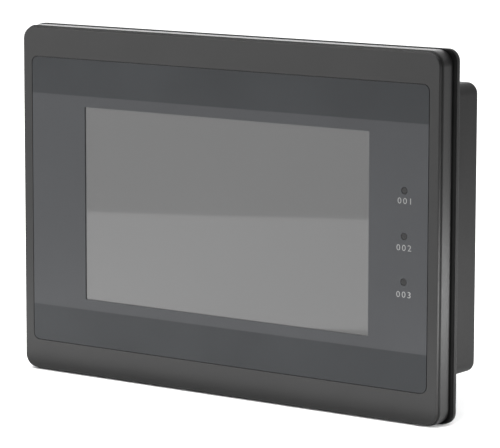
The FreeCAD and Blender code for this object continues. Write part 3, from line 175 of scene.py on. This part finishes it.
@dataclass(frozen=True)
class Finish:
    """What every finish has: a maker's name, a colour, and how it throws light."""

    name: str
    colour: str
    roughness: float
    metallic: float = 0.0
    ior: float = 1.5
    specular: float = 0.5

    def make(self) -> Material:
        """Builds the material with its pattern.

        Returns:
            The finished material.
        """
        material = bpy.data.materials.new(self.name)
        material.use_nodes = True
        tree = material.node_tree
        shader = tree.nodes["Principled BSDF"]
        shader.inputs["Base Color"].default_value = linear(self.colour)
        shader.inputs["Roughness"].default_value = self.roughness
        shader.inputs["Metallic"].default_value = self.metallic
        if not self.metallic:
            shader.inputs["IOR"].default_value = self.ior
            shader.inputs["Specular IOR Level"].default_value = self.specular
        place = add_node(tree, "ShaderNodeTexCoord").outputs["Object"]
        self.pattern(tree, shader, place)
        return material

    def pattern(self, tree: NodeTree, shader: Node, place: Socket) -> None:
        """Adds what makes the surface more than one flat colour.

        Args:
            tree: Node tree of the material.
            shader: Its principled shader.
            place: Position on the piece, in metres.
        """
        raise NotImplementedError

    @staticmethod
    def noise(tree: NodeTree, place: Socket, size_mm: float, detail: float = 2.0) -> Socket:
        """Makes a soft random pattern.

        Args:
            tree: Node tree of the material.
            place: Position on the piece, in metres.
            size_mm: Width of one blotch or grain.
            detail: Number of finer layers in it.

        Returns:
            The pattern's value, about 0 to 1.
        """
        return add_node(tree, "ShaderNodeTexNoise",
                        {"Scale": 1.0 / (size_mm * MM), "Detail": detail},
                        {"Vector": place}).outputs["Fac"]

    @staticmethod
    def remap(tree: NodeTree, value: Socket, low: float, high: float,
              source: tuple[float, float] = (0.3, 0.7)) -> Socket:
        """Stretches a pattern's value to a range.

        Args:
            tree: Node tree of the material.
            value: The pattern.
            low: Result at the source's first number.
            high: Result at the source's second number.
            source: Values of the pattern that the range starts and ends at.

        Returns:
            The new value.
        """
        return add_node(tree, "ShaderNodeMapRange",
                        {"From Min": source[0], "From Max": source[1],
                         "To Min": low, "To Max": high},
                        {"Value": value}).outputs["Result"]

    @staticmethod
    def mix(tree: NodeTree, factor: Socket, first: str | Socket, second: str | Socket) -> Socket:
        """Blends two colours by a pattern.

        Args:
            tree: Node tree of the material.
            factor: The pattern, 0 for the first colour and 1 for the second.
            first: A hex colour or the output of another node.
            second: The same for the other end.

        Returns:
            The blended colour.
        """
        node = add_node(tree, "ShaderNodeMix", {"data_type": "RGBA"})
        tree.links.new(factor, node.inputs[0])
        for slot, colour in ((6, first), (7, second)):
            if isinstance(colour, str):
                node.inputs[slot].default_value = linear(colour)
            else:
                tree.links.new(colour, node.inputs[slot])
        return node.outputs[2]

    @staticmethod
    def bump(tree: NodeTree, shader: Node, height: Socket, depth_mm: float,
             strength: float = 1.0) -> None:
        """Raises the surface by a pattern.

        Args:
            tree: Node tree of the material.
            shader: Its principled shader.
            height: The pattern.
            depth_mm: How deep the pattern goes.
            strength: How much of it shows.
        """
        node = add_node(tree, "ShaderNodeBump",
                        {"Strength": strength, "Distance": depth_mm * MM}, {"Height": height})
        tree.links.new(node.outputs["Normal"], shader.inputs["Normal"])


@dataclass(frozen=True)
class MouldedPlastic(Finish):
    """Moulded thermoplastic: a spark-eroded grain, and a faint cloudiness from the flow."""

    cloud: str = "#000000"
    grain_mm: float = 0.5
    grain_depth_mm: float = 0.006
    gloss_spread: float = 0.05
    cloud_mm: float = 22.0

    def pattern(self, tree: NodeTree, shader: Node, place: Socket) -> None:
        """Adds grain, cloudiness and an uneven gloss."""
        grain = self.noise(tree, place, self.grain_mm)
        cloud = self.remap(tree, self.noise(tree, place, self.cloud_mm), 0.0, 1.0)
        tree.links.new(self.mix(tree, cloud, self.colour, self.cloud),
                       shader.inputs["Base Color"])
        tree.links.new(self.remap(tree, grain, self.roughness - self.gloss_spread,
                                  self.roughness + self.gloss_spread),
                       shader.inputs["Roughness"])
        self.bump(tree, shader, grain, self.grain_depth_mm)


@dataclass(frozen=True)
class BandedFilm(Finish):
    """Printed polyester overlay: a lighter band across the middle between two dark ones."""

    band: str = "#000000"
    band_low_mm: float = -29.9
    band_high_mm: float = 29.9
    band_edge_mm: float = 0.1
    grain_mm: float = 0.6
    grain_depth_mm: float = 0.003
    gloss_spread: float = 0.04
    cloud: str = "#36393c"
    cloud_mm: float = 30.0
    cloud_share: float = 0.10

    def pattern(self, tree: NodeTree, shader: Node, place: Socket) -> None:
        """Adds the printed bands, their soft edge and the film's matt coat."""
        split = add_node(tree, "ShaderNodeSeparateXYZ", links={0: place})
        middle = (self.band_low_mm + self.band_high_mm) / 2 * MM
        half = (self.band_high_mm - self.band_low_mm) / 2 * MM
        edge = self.band_edge_mm * MM
        offset = add_node(tree, "ShaderNodeMath", {"operation": "SUBTRACT", 1: middle},
                          {0: split.outputs["Z"]})
        reach = add_node(tree, "ShaderNodeMath", {"operation": "ABSOLUTE"},
                         {0: offset.outputs[0]})
        inside = self.remap(tree, reach.outputs[0], 1.0, 0.0, (half - edge, half + edge))
        print_colour = self.mix(tree, inside, self.colour, self.band)
        cloud = self.remap(tree, self.noise(tree, place, self.cloud_mm), 0.0, self.cloud_share)
        tree.links.new(self.mix(tree, cloud, print_colour, self.cloud),
                       shader.inputs["Base Color"])
        grain = self.noise(tree, place, self.grain_mm)
        tree.links.new(self.remap(tree, grain, self.roughness - self.gloss_spread,
                                  self.roughness + self.gloss_spread),
                       shader.inputs["Roughness"])
        self.bump(tree, shader, grain, self.grain_depth_mm)


@dataclass(frozen=True)
class TouchFilm(Finish):
    """Resistive touch film over a display that is off: a grey haze under a clear, wavy face."""

    haze: str = "#0c0c0c"
    haze_mm: float = 45.0
    wave_mm: float = 38.0
    wave_depth_mm: float = 0.05
    coat_roughness: float = 0.03
    coat_ior: float = 1.40

    def pattern(self, tree: NodeTree, shader: Node, place: Socket) -> None:
        """Adds the haze's unevenness and the slow waves of the stretched film."""
        haze = self.remap(tree, self.noise(tree, place, self.haze_mm, 1.0), 0.0, 1.0)
        tree.links.new(self.mix(tree, haze, self.colour, self.haze),
                       shader.inputs["Base Color"])
        shader.inputs["Coat Weight"].default_value = 1.0
        shader.inputs["Coat Roughness"].default_value = self.coat_roughness
        shader.inputs["Coat IOR"].default_value = self.coat_ior
        waves = self.noise(tree, place, self.wave_mm, 0.0)
        node = add_node(tree, "ShaderNodeBump",
                        {"Strength": 1.0, "Distance": self.wave_depth_mm * MM},
                        {"Height": waves})
        tree.links.new(node.outputs["Normal"], shader.inputs["Coat Normal"])


class MetalGrain(Enum):
    """How a metal's surface was made, as stretches of its grain along X, Y and Z."""

    PLATED = (1.0, 1.0, 1.0)
    ROLLED_X = (0.04, 1.0, 1.0)
    TURNED_Y = (1.0, 8.0, 1.0)


@dataclass(frozen=True)
class Metal(Finish):
    """Sheet, plated or turned metal: fine streaks or speckle in the gloss, and dull stains."""

    metallic: float = 1.0
    grain: MetalGrain = MetalGrain.PLATED
    grain_mm: float = 0.25
    grain_depth_mm: float = 0.004
    stain: str = "#808080"
    stain_mm: float = 6.0
    stain_share: float = 0.5

    def pattern(self, tree: NodeTree, shader: Node, place: Socket) -> None:
        """Adds the grain to gloss and height, and the stains to the colour."""
        stretch = add_node(tree, "ShaderNodeMapping", {"Scale": self.grain.value},
                           {"Vector": place}).outputs["Vector"]
        grain = self.noise(tree, stretch, self.grain_mm, 3.0)
        stain = self.remap(tree, self.noise(tree, place, self.stain_mm), 0.0, self.stain_share)
        tree.links.new(self.mix(tree, stain, self.colour, self.stain),
                       shader.inputs["Base Color"])
        tree.links.new(self.remap(tree, grain, self.roughness - 0.08, self.roughness + 0.10),
                       shader.inputs["Roughness"])
        self.bump(tree, shader, grain, self.grain_depth_mm)


@dataclass(frozen=True)
class Elastomer(Finish):
    """Rubber or foam: dull, with open pores or a bloom of dust."""

    pore_mm: float = 0.6
    pore_depth_mm: float = 0.03
    dust: str = "#303030"
    dust_mm: float = 5.0
    dust_share: float = 0.6

    def pattern(self, tree: NodeTree, shader: Node, place: Socket) -> None:
        """Adds pores and dust."""
        pores = add_node(tree, "ShaderNodeTexVoronoi",
                         {"Scale": 1.0 / (self.pore_mm * MM)}, {"Vector": place})
        dust = self.remap(tree, self.noise(tree, place, self.dust_mm, 4.0), 0.0,
                          self.dust_share)
        tree.links.new(self.mix(tree, dust, self.colour, self.dust),
                       shader.inputs["Base Color"])
        self.bump(tree, shader, pores.outputs["Distance"], self.pore_depth_mm)


@dataclass(frozen=True)
class CircuitLaminate(Finish):
    """Glass-epoxy board under solder mask: copper tracks show as lighter, raised green."""

    track: str = "#1c7a40"
    cell_mm: float = 8.0
    track_repeat: float = 0.12
    track_edge: tuple[float, float] = (0.05, 0.07)
    track_height_mm: float = 0.03

    def pattern(self, tree: NodeTree, shader: Node, place: Socket) -> None:
        """Adds the tracks, laid out on a grid with bends, and the mask's gloss."""
        turned = add_node(tree, "ShaderNodeMapping", {"Rotation": (math.pi / 2, 0, 0)},
                          {"Vector": place}).outputs["Vector"]
        cells = add_node(tree, "ShaderNodeTexVoronoi",
                         {"Scale": 1.0 / (self.cell_mm * MM), "distance": "CHEBYCHEV"},
                         {"Vector": turned})
        lines = add_node(tree, "ShaderNodeMath", {"operation": "PINGPONG", 1: self.track_repeat},
                         {0: cells.outputs["Distance"]})
        tracks = self.remap(tree, lines.outputs[0], 0.0, 1.0, self.track_edge)
        tree.links.new(self.mix(tree, tracks, self.colour, self.track),
                       shader.inputs["Base Color"])
        self.bump(tree, shader, tracks, self.track_height_mm)


@dataclass(frozen=True)
class PrintedFoil(Finish):
    """Metallised label: rolled foil with blank ruled rows."""

    metallic: float = 1.0
    row_mm: float = 4.0
    line_mm: float = 0.3
    line_edge_mm: float = 0.05
    line_ink: str = "#3a3b3d"
    streak_mm: float = 0.3
    streak_stretch: tuple[float, float, float] = (0.03, 1.0, 1.0)
    streak_depth_mm: float = 0.002

    def pattern(self, tree: NodeTree, shader: Node, place: Socket) -> None:
        """Adds the rolled streaks and the rows."""
        stretch = add_node(tree, "ShaderNodeMapping", {"Scale": self.streak_stretch},
                           {"Vector": place}).outputs["Vector"]
        streak = self.noise(tree, stretch, self.streak_mm, 3.0)
        split = add_node(tree, "ShaderNodeSeparateXYZ", links={0: place})
        rows = add_node(tree, "ShaderNodeMath", {"operation": "PINGPONG", 1: self.row_mm / 2 * MM},
                        {0: split.outputs["Z"]})
        half = self.line_mm / 2
        ruled = self.remap(tree, rows.outputs[0], 1.0, 0.0,
                           (half * MM, (half + self.line_edge_mm) * MM))
        ink = self.mix(tree, ruled, self.colour, self.line_ink)
        tree.links.new(ink, shader.inputs["Base Color"])
        tree.links.new(self.remap(tree, streak, self.roughness - 0.06, self.roughness + 0.08),
                       shader.inputs["Roughness"])
        self.bump(tree, shader, streak, self.streak_depth_mm)


@dataclass(frozen=True)
class ClearGlass(Finish):
    """Float glass with a conductive coat: clear with a faint green and fine dust."""

    dust_mm: float = 3.0
    dust_dulling: float = 0.08

    def pattern(self, tree: NodeTree, shader: Node, place: Socket) -> None:
        """Lets light through, and dulls it a little in spots."""
        shader.inputs["Transmission Weight"].default_value = 1.0
        dust = self.noise(tree, place, self.dust_mm, 4.0)
        tree.links.new(self.remap(tree, dust, self.roughness, self.roughness + self.dust_dulling),
                       shader.inputs["Roughness"])


# ------------------------------------------------------------------ sub-assemblies

@dataclass
class SoftRing:
    """A rounded-rectangle ring of rubber or foam with a crowned section.

    It takes the room of the CAD ring it stands for, whose soft section the solids leave square.
    """

    node: str
    width: float
    corner: float
    crown: float
    corner_segments: int = 10
    crown_segments: int = 4

    def build(self, name: str, material: Material) -> Piece:
        """Builds the ring in place of its CAD node.

        Args:
            name: Name of the new piece.
            material: Its finish.

        Returns:
            The ring.
        """
        low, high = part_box(self.node)
        clear_selection()
        bpy.ops.mesh.primitive_plane_add(size=1.0, location=(0, 0, 0))
        piece = start_piece(name)
        bpy.ops.transform.resize(value=(high.x - low.x, high.z - low.z, 1.0))
        bpy.ops.transform.rotate(value=math.pi / 2, orient_axis="X", center_override=(0, 0, 0))
        bpy.ops.transform.translate(value=((low.x + high.x) / 2, low.y, (low.z + high.z) / 2))
        bpy.ops.mesh.bevel(offset=self.corner, segments=self.corner_segments, affect="VERTICES")
        bpy.ops.mesh.inset(thickness=self.width)
        bpy.ops.mesh.delete(type="FACE")
        bpy.ops.mesh.select_all(action="SELECT")
        bpy.ops.mesh.extrude_region_move(
            TRANSFORM_OT_translate={"value": (0, high.y - low.y, 0)})
        bpy.ops.object.mode_set(mode="OBJECT")
        crown = piece.modifiers.new("crown", "BEVEL")
        crown.width = self.crown
        crown.segments = self.crown_segments
        crown.limit_method = "ANGLE"
        crown.angle_limit = math.radians(60)
        bpy.ops.object.modifier_apply(modifier=crown.name)
        finish_piece(piece, material)
        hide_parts(self.node)
        return piece


@dataclass
class PrintedNumber:
    """A plain number printed on a face, as a thin raised layer of ink."""

    text: str
    centre: Vector
    height: float
    stretch: float = 1.0
    facing_back: bool = False
    ink: float = 0.02 * MM
    spacing: float = 1.3
    curve_steps: int = 3

    def build(self, name: str, material: Material) -> Piece:
        """Sets the number and gives the ink its thickness.

        Args:
            name: Name of the piece.
            material: The ink.

        Returns:
            The printed number.
        """
        clear_selection()
        bpy.ops.object.text_add(location=(0, 0, 0))
        label = bpy.context.object
        label.name = name
        label.data.body = self.text
        label.data.align_x = "CENTER"
        label.data.align_y = "CENTER"
        label.data.extrude = self.ink / 2
        label.data.resolution_u = self.curve_steps
        label.data.space_character = self.spacing
        bpy.ops.object.convert(target="MESH")
        piece = start_piece(name)
        across = [vertex.co.x for vertex in piece.data.vertices]
        upward = [vertex.co.y for vertex in piece.data.vertices]
        middle = Vector((max(across) + min(across), max(upward) + min(upward), 0)) / 2
        scale = self.height / (max(upward) - min(upward))
        bpy.ops.transform.translate(value=-middle)
        bpy.ops.transform.resize(value=(scale * self.stretch, scale, 1.0),
                                 center_override=(0, 0, 0))
        bpy.ops.transform.rotate(value=-math.pi / 2, orient_axis="X", center_override=(0, 0, 0))
        if self.facing_back:
            bpy.ops.transform.rotate(value=math.pi, orient_axis="Z", center_override=(0, 0, 0))
        bpy.ops.transform.translate(value=self.centre)
        return finish_piece(piece, material, 10.0)


@dataclass
class FrontPanel:
    """Bezel, printed overlay, touch film and the three status lamps with their numbers."""

    number_drop: float = 2.95 * MM
    number_height: float = 1.6 * MM
    number_stretch: float = 1.15

    # ABS moulded in a grained tool: dark grey, satin, so that edges catch a line of light
    bezel: Finish = MouldedPlastic("dark_grey_moulded_abs", "#131313", 0.36, cloud="#161616",
                                   specular=0.2)
    # polyester film, reverse printed and hard coated: even, slightly blue, a little glossier
    overlay: Finish = BandedFilm("reverse_printed_polyester", "#0b0e11", 0.45, band="#222325",
                                 specular=0.2)
    # touch film over an unlit display: grey haze with a clear reflection on top
    film: Finish = TouchFilm("hard_coated_touch_film", "#080808", 0.5)
    # smoked acrylic: nearly black, with the gloss of a cast face
    lamp: Finish = MouldedPlastic("smoked_acrylic", "#0c0c0c", 0.45, cloud="#101011",
                                  specular=0.2)
    # screen ink: flat light grey
    ink: Finish = MouldedPlastic("light_grey_screen_ink", "#626262", 0.6, cloud="#5a5a5a",
                                 grain_mm=0.3)

    def build(self) -> None:
        """Dresses the CAD nodes and prints the numbers under the lamps."""
        dress(self.bezel.make(), "front_bezel")
        dress(self.overlay.make(), "front_overlay")
        dress(self.film.make(), "touch_film")
        dress(self.lamp.make(), "light_guides")
        ink = self.ink.make()
        low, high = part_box("light_guides")
        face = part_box("front_overlay")[0].y
        middle = (low.z + high.z) / 2
        pitch = (high.z - low.z - (high.x - low.x)) / 2
        for index in range(3):
            centre = Vector(((low.x + high.x) / 2, face - INK_LIFT,
                             middle + (1 - index) * pitch - self.number_drop))
            number = PrintedNumber(f"{index + 1:03d}", centre, self.number_height,
                                   self.number_stretch)
            number.build(f"lamp_number_{index + 1}", ink)


@dataclass
class SealAndGasket:
    """Soft rings: the seal between bezel and rear case, and the gasket on the seat face."""

    # moulded rubber: black, dull, a bloom of dust; set near black, partly the rubber's own black
    # and partly painted shade for the gap between bezel and rear case
    rubber: Finish = Elastomer("black_rubber_with_painted_gap_shade", "#030303", 0.8, pore_mm=0.5,
                               pore_depth_mm=0.01, dust="#080808", specular=0.05)
    # closed-cell foam: black with pores
    foam: Finish = Elastomer("closed_cell_foam", "#1a1a1a", 0.9, dust="#2c2c2c")

    def build(self) -> None:
        """Builds both rings and dresses the display's own foam."""
        foam = self.foam.make()
        seal = SoftRing("housing_seal", 3.0 * MM, 3.1 * MM, 0.3 * MM)
        # the seal's near-black colour includes painted shade for the gap it sits in
        seal.build("seal_ring", self.rubber.make())
        gasket = SoftRing("panel_gasket", 2.6 * MM, 3.0 * MM, 0.3 * MM)
        gasket.build("gasket_ring", foam)
        dress(foam, "display_gasket", "touch_spacer")


@dataclass
class DisplayStack:
    """Glass, display cell, its metal frame and the flat cables behind the touch film."""

    # float glass: clear, faint green
    glass: Finish = ClearGlass("conductive_float_glass", "#e6f0ec", 0.02, ior=1.52)
    # polariser over a liquid crystal cell: near black, glossy
    cell: Finish = MouldedPlastic("polarised_display_cell", "#1f2226", 0.15, cloud="#25282c")
    # tin-plated steel sheet, rolled: soft grey streaks
    steel: Finish = Metal("tin_plated_steel_sheet", "#b8bab8", 0.35, grain=MetalGrain.ROLLED_X,
                          stain="#9a9c9a")
    # moulded polycarbonate: warm white, glossy
    white: Finish = MouldedPlastic("white_polycarbonate", "#dcdcd4", 0.3, cloud="#d2d2c8")
    # polyimide film on copper: amber, glossy
    amber: Finish = MouldedPlastic("polyimide_flat_cable", "#a8651c", 0.3, cloud="#94560f")
    # moulded nylon: ivory, dull
    ivory: Finish = MouldedPlastic("ivory_nylon", "#d8cfb8", 0.5, cloud="#cfc4aa")

    def build(self) -> None:
        """Dresses the CAD nodes of the display."""
        dress(self.glass.make(), "touch_glass")
        dress(self.cell.make(), "lcd_glass")
        dress(self.steel.make(), "lcd_frame", "lcd_bracket")
        dress(self.white.make(), "backlight_unit")
        dress(self.amber.make(), "lcd_cable", "touch_cable")
        dress(self.ivory.make(), "display_connector", "touch_connector")


@dataclass
class RearCase:
    """Rear housing with its door, screws and label, and plain numbers by the sockets."""

    number_level: float = -35.0 * MM
    number_height: float = 2.2 * MM

    # ABS, deeper grain than the bezel: a touch darker and duller
    case: Finish = MouldedPlastic("dark_grey_grained_abs", "#1f1f1f", 0.48, cloud="#222222",
                                  grain_mm=0.7, grain_depth_mm=0.012, specular=0.05)
    # black-oxide steel: dark, oily gloss
    black_steel: Finish = Metal("black_oxide_steel", "#2a2a2b", 0.4, stain="#1c1c1c")
    # metallised polyester label: silver with blank ruled rows
    label: Finish = PrintedFoil("metallised_label", "#96989a", 0.4)
    # pad-printed ink: light grey
    ink: Finish = MouldedPlastic("light_grey_pad_ink", "#b4b4b4", 0.6, cloud="#a6a6a6",
                                 grain_mm=0.3)

    def build(self) -> None:
        """Dresses the CAD nodes and prints a number by each socket."""
        dress(self.case.make(), "rear_housing", "battery_door")
        dress(self.black_steel.make(), "housing_screws")
        dress(self.label.make(), "rating_plate")
        ink = self.ink.make()
        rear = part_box("rear_housing")[1].y
        for index, node in enumerate(("serial_shell", "usb_device_shell", "usb_host_shell",
                                      "power_socket"), start=1):
            low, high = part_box(node)
            centre = Vector(((low.x + high.x) / 2, rear + INK_LIFT, self.number_level))
            number = PrintedNumber(str(index), centre, self.number_height, facing_back=True)
            number.build(f"socket_number_{index}", ink)


@dataclass
class CircuitBoard:
    """Main board with its chips, posts and fasteners."""

    # glass-epoxy laminate under green solder mask: tracks show through
    laminate: Finish = CircuitLaminate("solder_masked_laminate", "#0d4a26", 0.3)
    # transfer-moulded epoxy: black, matt
    epoxy: Finish = MouldedPlastic("moulded_black_epoxy", "#1c1c1d", 0.55, cloud="#232324")
    # sintered ferrite: dark grey, grainy
    ferrite: Finish = MouldedPlastic("sintered_ferrite", "#38383a", 0.6, cloud="#2e2e30",
                                     grain_mm=0.4, grain_depth_mm=0.02)
    # drawn aluminium can: bright
    can: Finish = Metal("drawn_aluminium_can", "#c2c4c6", 0.25, stain="#a8aaac")
    # turned brass, nickel flashed
    brass: Finish = Metal("turned_brass", "#c0a862", 0.3, grain=MetalGrain.TURNED_Y,
                          stain="#a08a4c")
    # zinc-plated steel: bluish, mottled
    zinc: Finish = Metal("zinc_plated_steel", "#b6b8b4", 0.32, stain="#94968e")
    # phosphor and epoxy of a small lamp: pale yellow
    phosphor: Finish = MouldedPlastic("lamp_phosphor", "#dad6a8", 0.3, cloud="#ccc790")

    def build(self) -> None:
        """Dresses the CAD nodes of the board."""
        dress(self.laminate.make(), "main_board")
        dress(self.epoxy.make(), "processor", "memory_chips", "buzzer")
        dress(self.ferrite.make(), "power_inductor")
        dress(self.can.make(), "filter_capacitors")
        dress(self.brass.make(), "board_spacers")
        dress(self.zinc.make(), "board_screws", "bracket_screws", "terminal_screw_1",
              "terminal_screw_2", "terminal_screw_3")
        dress(self.phosphor.make(), "status_leds")


@dataclass
class Sockets:
    """Serial and data sockets, the supply terminal, coin cell and switches."""

    # nickel on drawn steel: warm, bright
    nickel: Finish = Metal("nickel_plated_shell", "#bdbab2", 0.25, stain="#a19d94")
    # hard gold over copper alloy
    gold: Finish = Metal("gold_plated_contact", "#d9ad4f", 0.22, stain="#bf943c")
    # tin over brass
    tin: Finish = Metal("tinned_pin", "#bfc0be", 0.3, stain="#a3a4a2")
    # glass-filled polyester: black
    black: Finish = MouldedPlastic("black_polyester", "#19191a", 0.5, cloud="#202021")
    # moulded nylon: white
    white: Finish = MouldedPlastic("white_nylon", "#dcdcd6", 0.45, cloud="#cfcfc8")
    # polyamide of pluggable terminals: green
    green: Finish = MouldedPlastic("green_polyamide", "#1f6b35", 0.45, cloud="#1b602f")
    # stainless can of a coin cell
    stainless: Finish = Metal("stainless_cell_can", "#c4c4c2", 0.22, stain="#aeaeac")
    # moulded nylon: red
    red: Finish = MouldedPlastic("red_nylon", "#8c1f1a", 0.45, cloud="#7d1a16")

    def build(self) -> None:
        """Dresses the CAD nodes of the sockets and what is near them."""
        dress(self.nickel.make(), "serial_shell", "jack_nuts", "usb_device_shell",
              "usb_host_shell")
        dress(self.gold.make(), "serial_contacts")
        dress(self.tin.make(), "power_pins")
        dress(self.black.make(), "serial_insulator", "usb_host_insert", "battery_holder")
        dress(self.white.make(), "usb_device_insert", "switch_slider_1", "switch_slider_2")
        dress(self.green.make(), "power_socket", "power_plug")
        dress(self.stainless.make(), "coin_cell")
        dress(self.red.make(), "switch_block")


# ------------------------------------------------------------------ studio

@dataclass
class Studio:
    """Pale floor, even white surround, soft lights and the camera."""

    eye: Vector = field(default_factory=lambda: Vector((487.67, -657.58, 117.55)) * MM)
    ahead: Vector = field(default_factory=lambda: Vector((-0.5866, 0.7968, -0.1451)))
    up: Vector = field(default_factory=lambda: Vector((-0.0878, 0.1155, 0.9894)))
    lens: float = 219.94
    sensor: float = 36.0
    near_clip: float = 0.01
    mirror_edge: tuple[Vector, Vector] = field(default_factory=lambda: (
        Vector((-247.0, -255.8, -47.5)) * MM, Vector((-148.4, -302.2, -47.5)) * MM))
    card_size: tuple[float, float] = (0.17, 0.23)
    card_shift: float = 0.018
    surround: float = 0.15
    overhead: float = 54.0
    front_left: float = 27.0
    front_above: float = 36.0
    right_foot: float = 0.17
    front_foot: float = 0.16
    low_card: float = 0.225
    backdrop: float = 50.0
    floor_size: float = 12.0

    def build(self) -> None:
        """Sets up everything round the object."""
        bpy.context.scene.view_settings.view_transform = "Standard"
        self.floor()
        self.sky()
        self.lights()
        self.camera()

    def floor(self) -> None:
        """Lays the floor under the object's lowest edge."""
        clear_selection()
        bpy.ops.mesh.primitive_plane_add(size=self.floor_size,
                                         location=(0, 0, CAD_BOX[0].z - FLOOR_GAP))
        plane = bpy.context.object
        plane.name = "floor"
        finish = MouldedPlastic("white_seamless_paper", "#f6f6f6", 0.9, cloud="#f2f2f2",
                                grain_mm=2.0, cloud_mm=300.0)
        plane.data.materials.append(finish.make())

    def sky(self) -> None:
        """Surrounds the object with even, dim white light."""
        world = bpy.data.worlds.new("white_surround")
        world.use_nodes = True
        background = world.node_tree.nodes["Background"]
        background.inputs["Color"].default_value = (1, 1, 1, 1)
        background.inputs["Strength"].default_value = self.surround
        bpy.context.scene.world = world

    @staticmethod
    def card(name: str, place: Vector, facing: Vector, along: Vector,
             size: tuple[float, float], power: float) -> Piece:
        """Sets up one rectangular soft light, which the camera doesn't see.

        Args:
            name: Name of the light.
            place: Its middle, in metres.
            facing: Direction that it shines in.
            along: Direction of its first side, square to the one it shines in.
            size: Length of its two sides, in metres.
            power: Its power in watts.

        Returns:
            The light.
        """
        data = bpy.data.lights.new(name, "AREA")
        data.shape = "RECTANGLE"
        data.size, data.size_y = size
        data.energy = power
        lamp = bpy.data.objects.new(name, data)
        bpy.context.collection.objects.link(lamp)
        back = -facing.normalized()
        side = (along - along.dot(back) * back).normalized()
        lamp.matrix_world = (Matrix.Translation(place)
                             @ Matrix((side, back.cross(side), back)).transposed().to_4x4())
        lamp.visible_camera = False
        return lamp

    def lights(self) -> None:
        """Hangs the soft lights, and lays a glowing card whose far edge the film mirrors."""
        cards = (
            ("overhead", (0.0, 0.5, 1.8), (0, 0, -1), ACROSS, (3.2, 3.2), self.overhead),
            ("front_left", (-1.2, -1.5, 0.5), (1.2, 1.5, -0.5), ACROSS, (1.2, 1.0),
             self.front_left),
            ("front_above", (-0.1, -1.0, 1.4), (0.1, 0.7, -1.4), ACROSS, (1.6, 1.2),
             self.front_above),
            ("right_foot", (0.135, 0.01, -0.030), (-1, 0, 0.35), INTO_CABINET, (0.20, 0.033),
             self.right_foot),
            ("front_foot", (0.0, -0.052, -0.0475), (0, 0, 1), ACROSS, (0.26, 0.07),
             self.front_foot),
            ("backdrop", (-0.8, 2.6, 0.6), (0.3, -1.0, -0.15), ACROSS, (4.0, 1.6),
             self.backdrop),
        )
        for name, place, facing, along, size, power in cards:
            self.card(name, Vector(place), Vector(facing), along, size, power)
        edge_left, edge_right = self.mirror_edge
        side = (edge_right - edge_left).normalized()
        inward = UPWARD.cross(side)
        length, depth = self.card_size
        middle = (edge_left + edge_right) / 2 + side * self.card_shift + inward * depth / 2
        self.card("low_card", middle, UPWARD, side, (length, depth), self.low_card)

    def camera(self) -> None:
        """Places the camera."""
        data = bpy.data.cameras.new("camera")
        data.lens = self.lens
        data.sensor_width = self.sensor
        data.clip_start = self.near_clip
        camera = bpy.data.objects.new("camera", data)
        bpy.context.collection.objects.link(camera)
        back = -self.ahead.normalized()
        right = self.up.cross(back).normalized()
        above = back.cross(right)
        camera.matrix_world = (Matrix.Translation(self.eye)
                               @ Matrix((right, above, back)).transposed().to_4x4())
        bpy.context.scene.camera = camera


def main() -> None:
    """Dresses the whole panel, then sets up the studio."""
    logging.basicConfig(level=logging.INFO, format="%(name)s: %(message)s")
    for part in (FrontPanel(), SealAndGasket(), DisplayStack(), RearCase(), CircuitBoard(),
                 Sockets(), Studio()):
        part.build()
        LOG.info("finished %s", type(part).__name__)


if __name__ == "__main__":
    main()
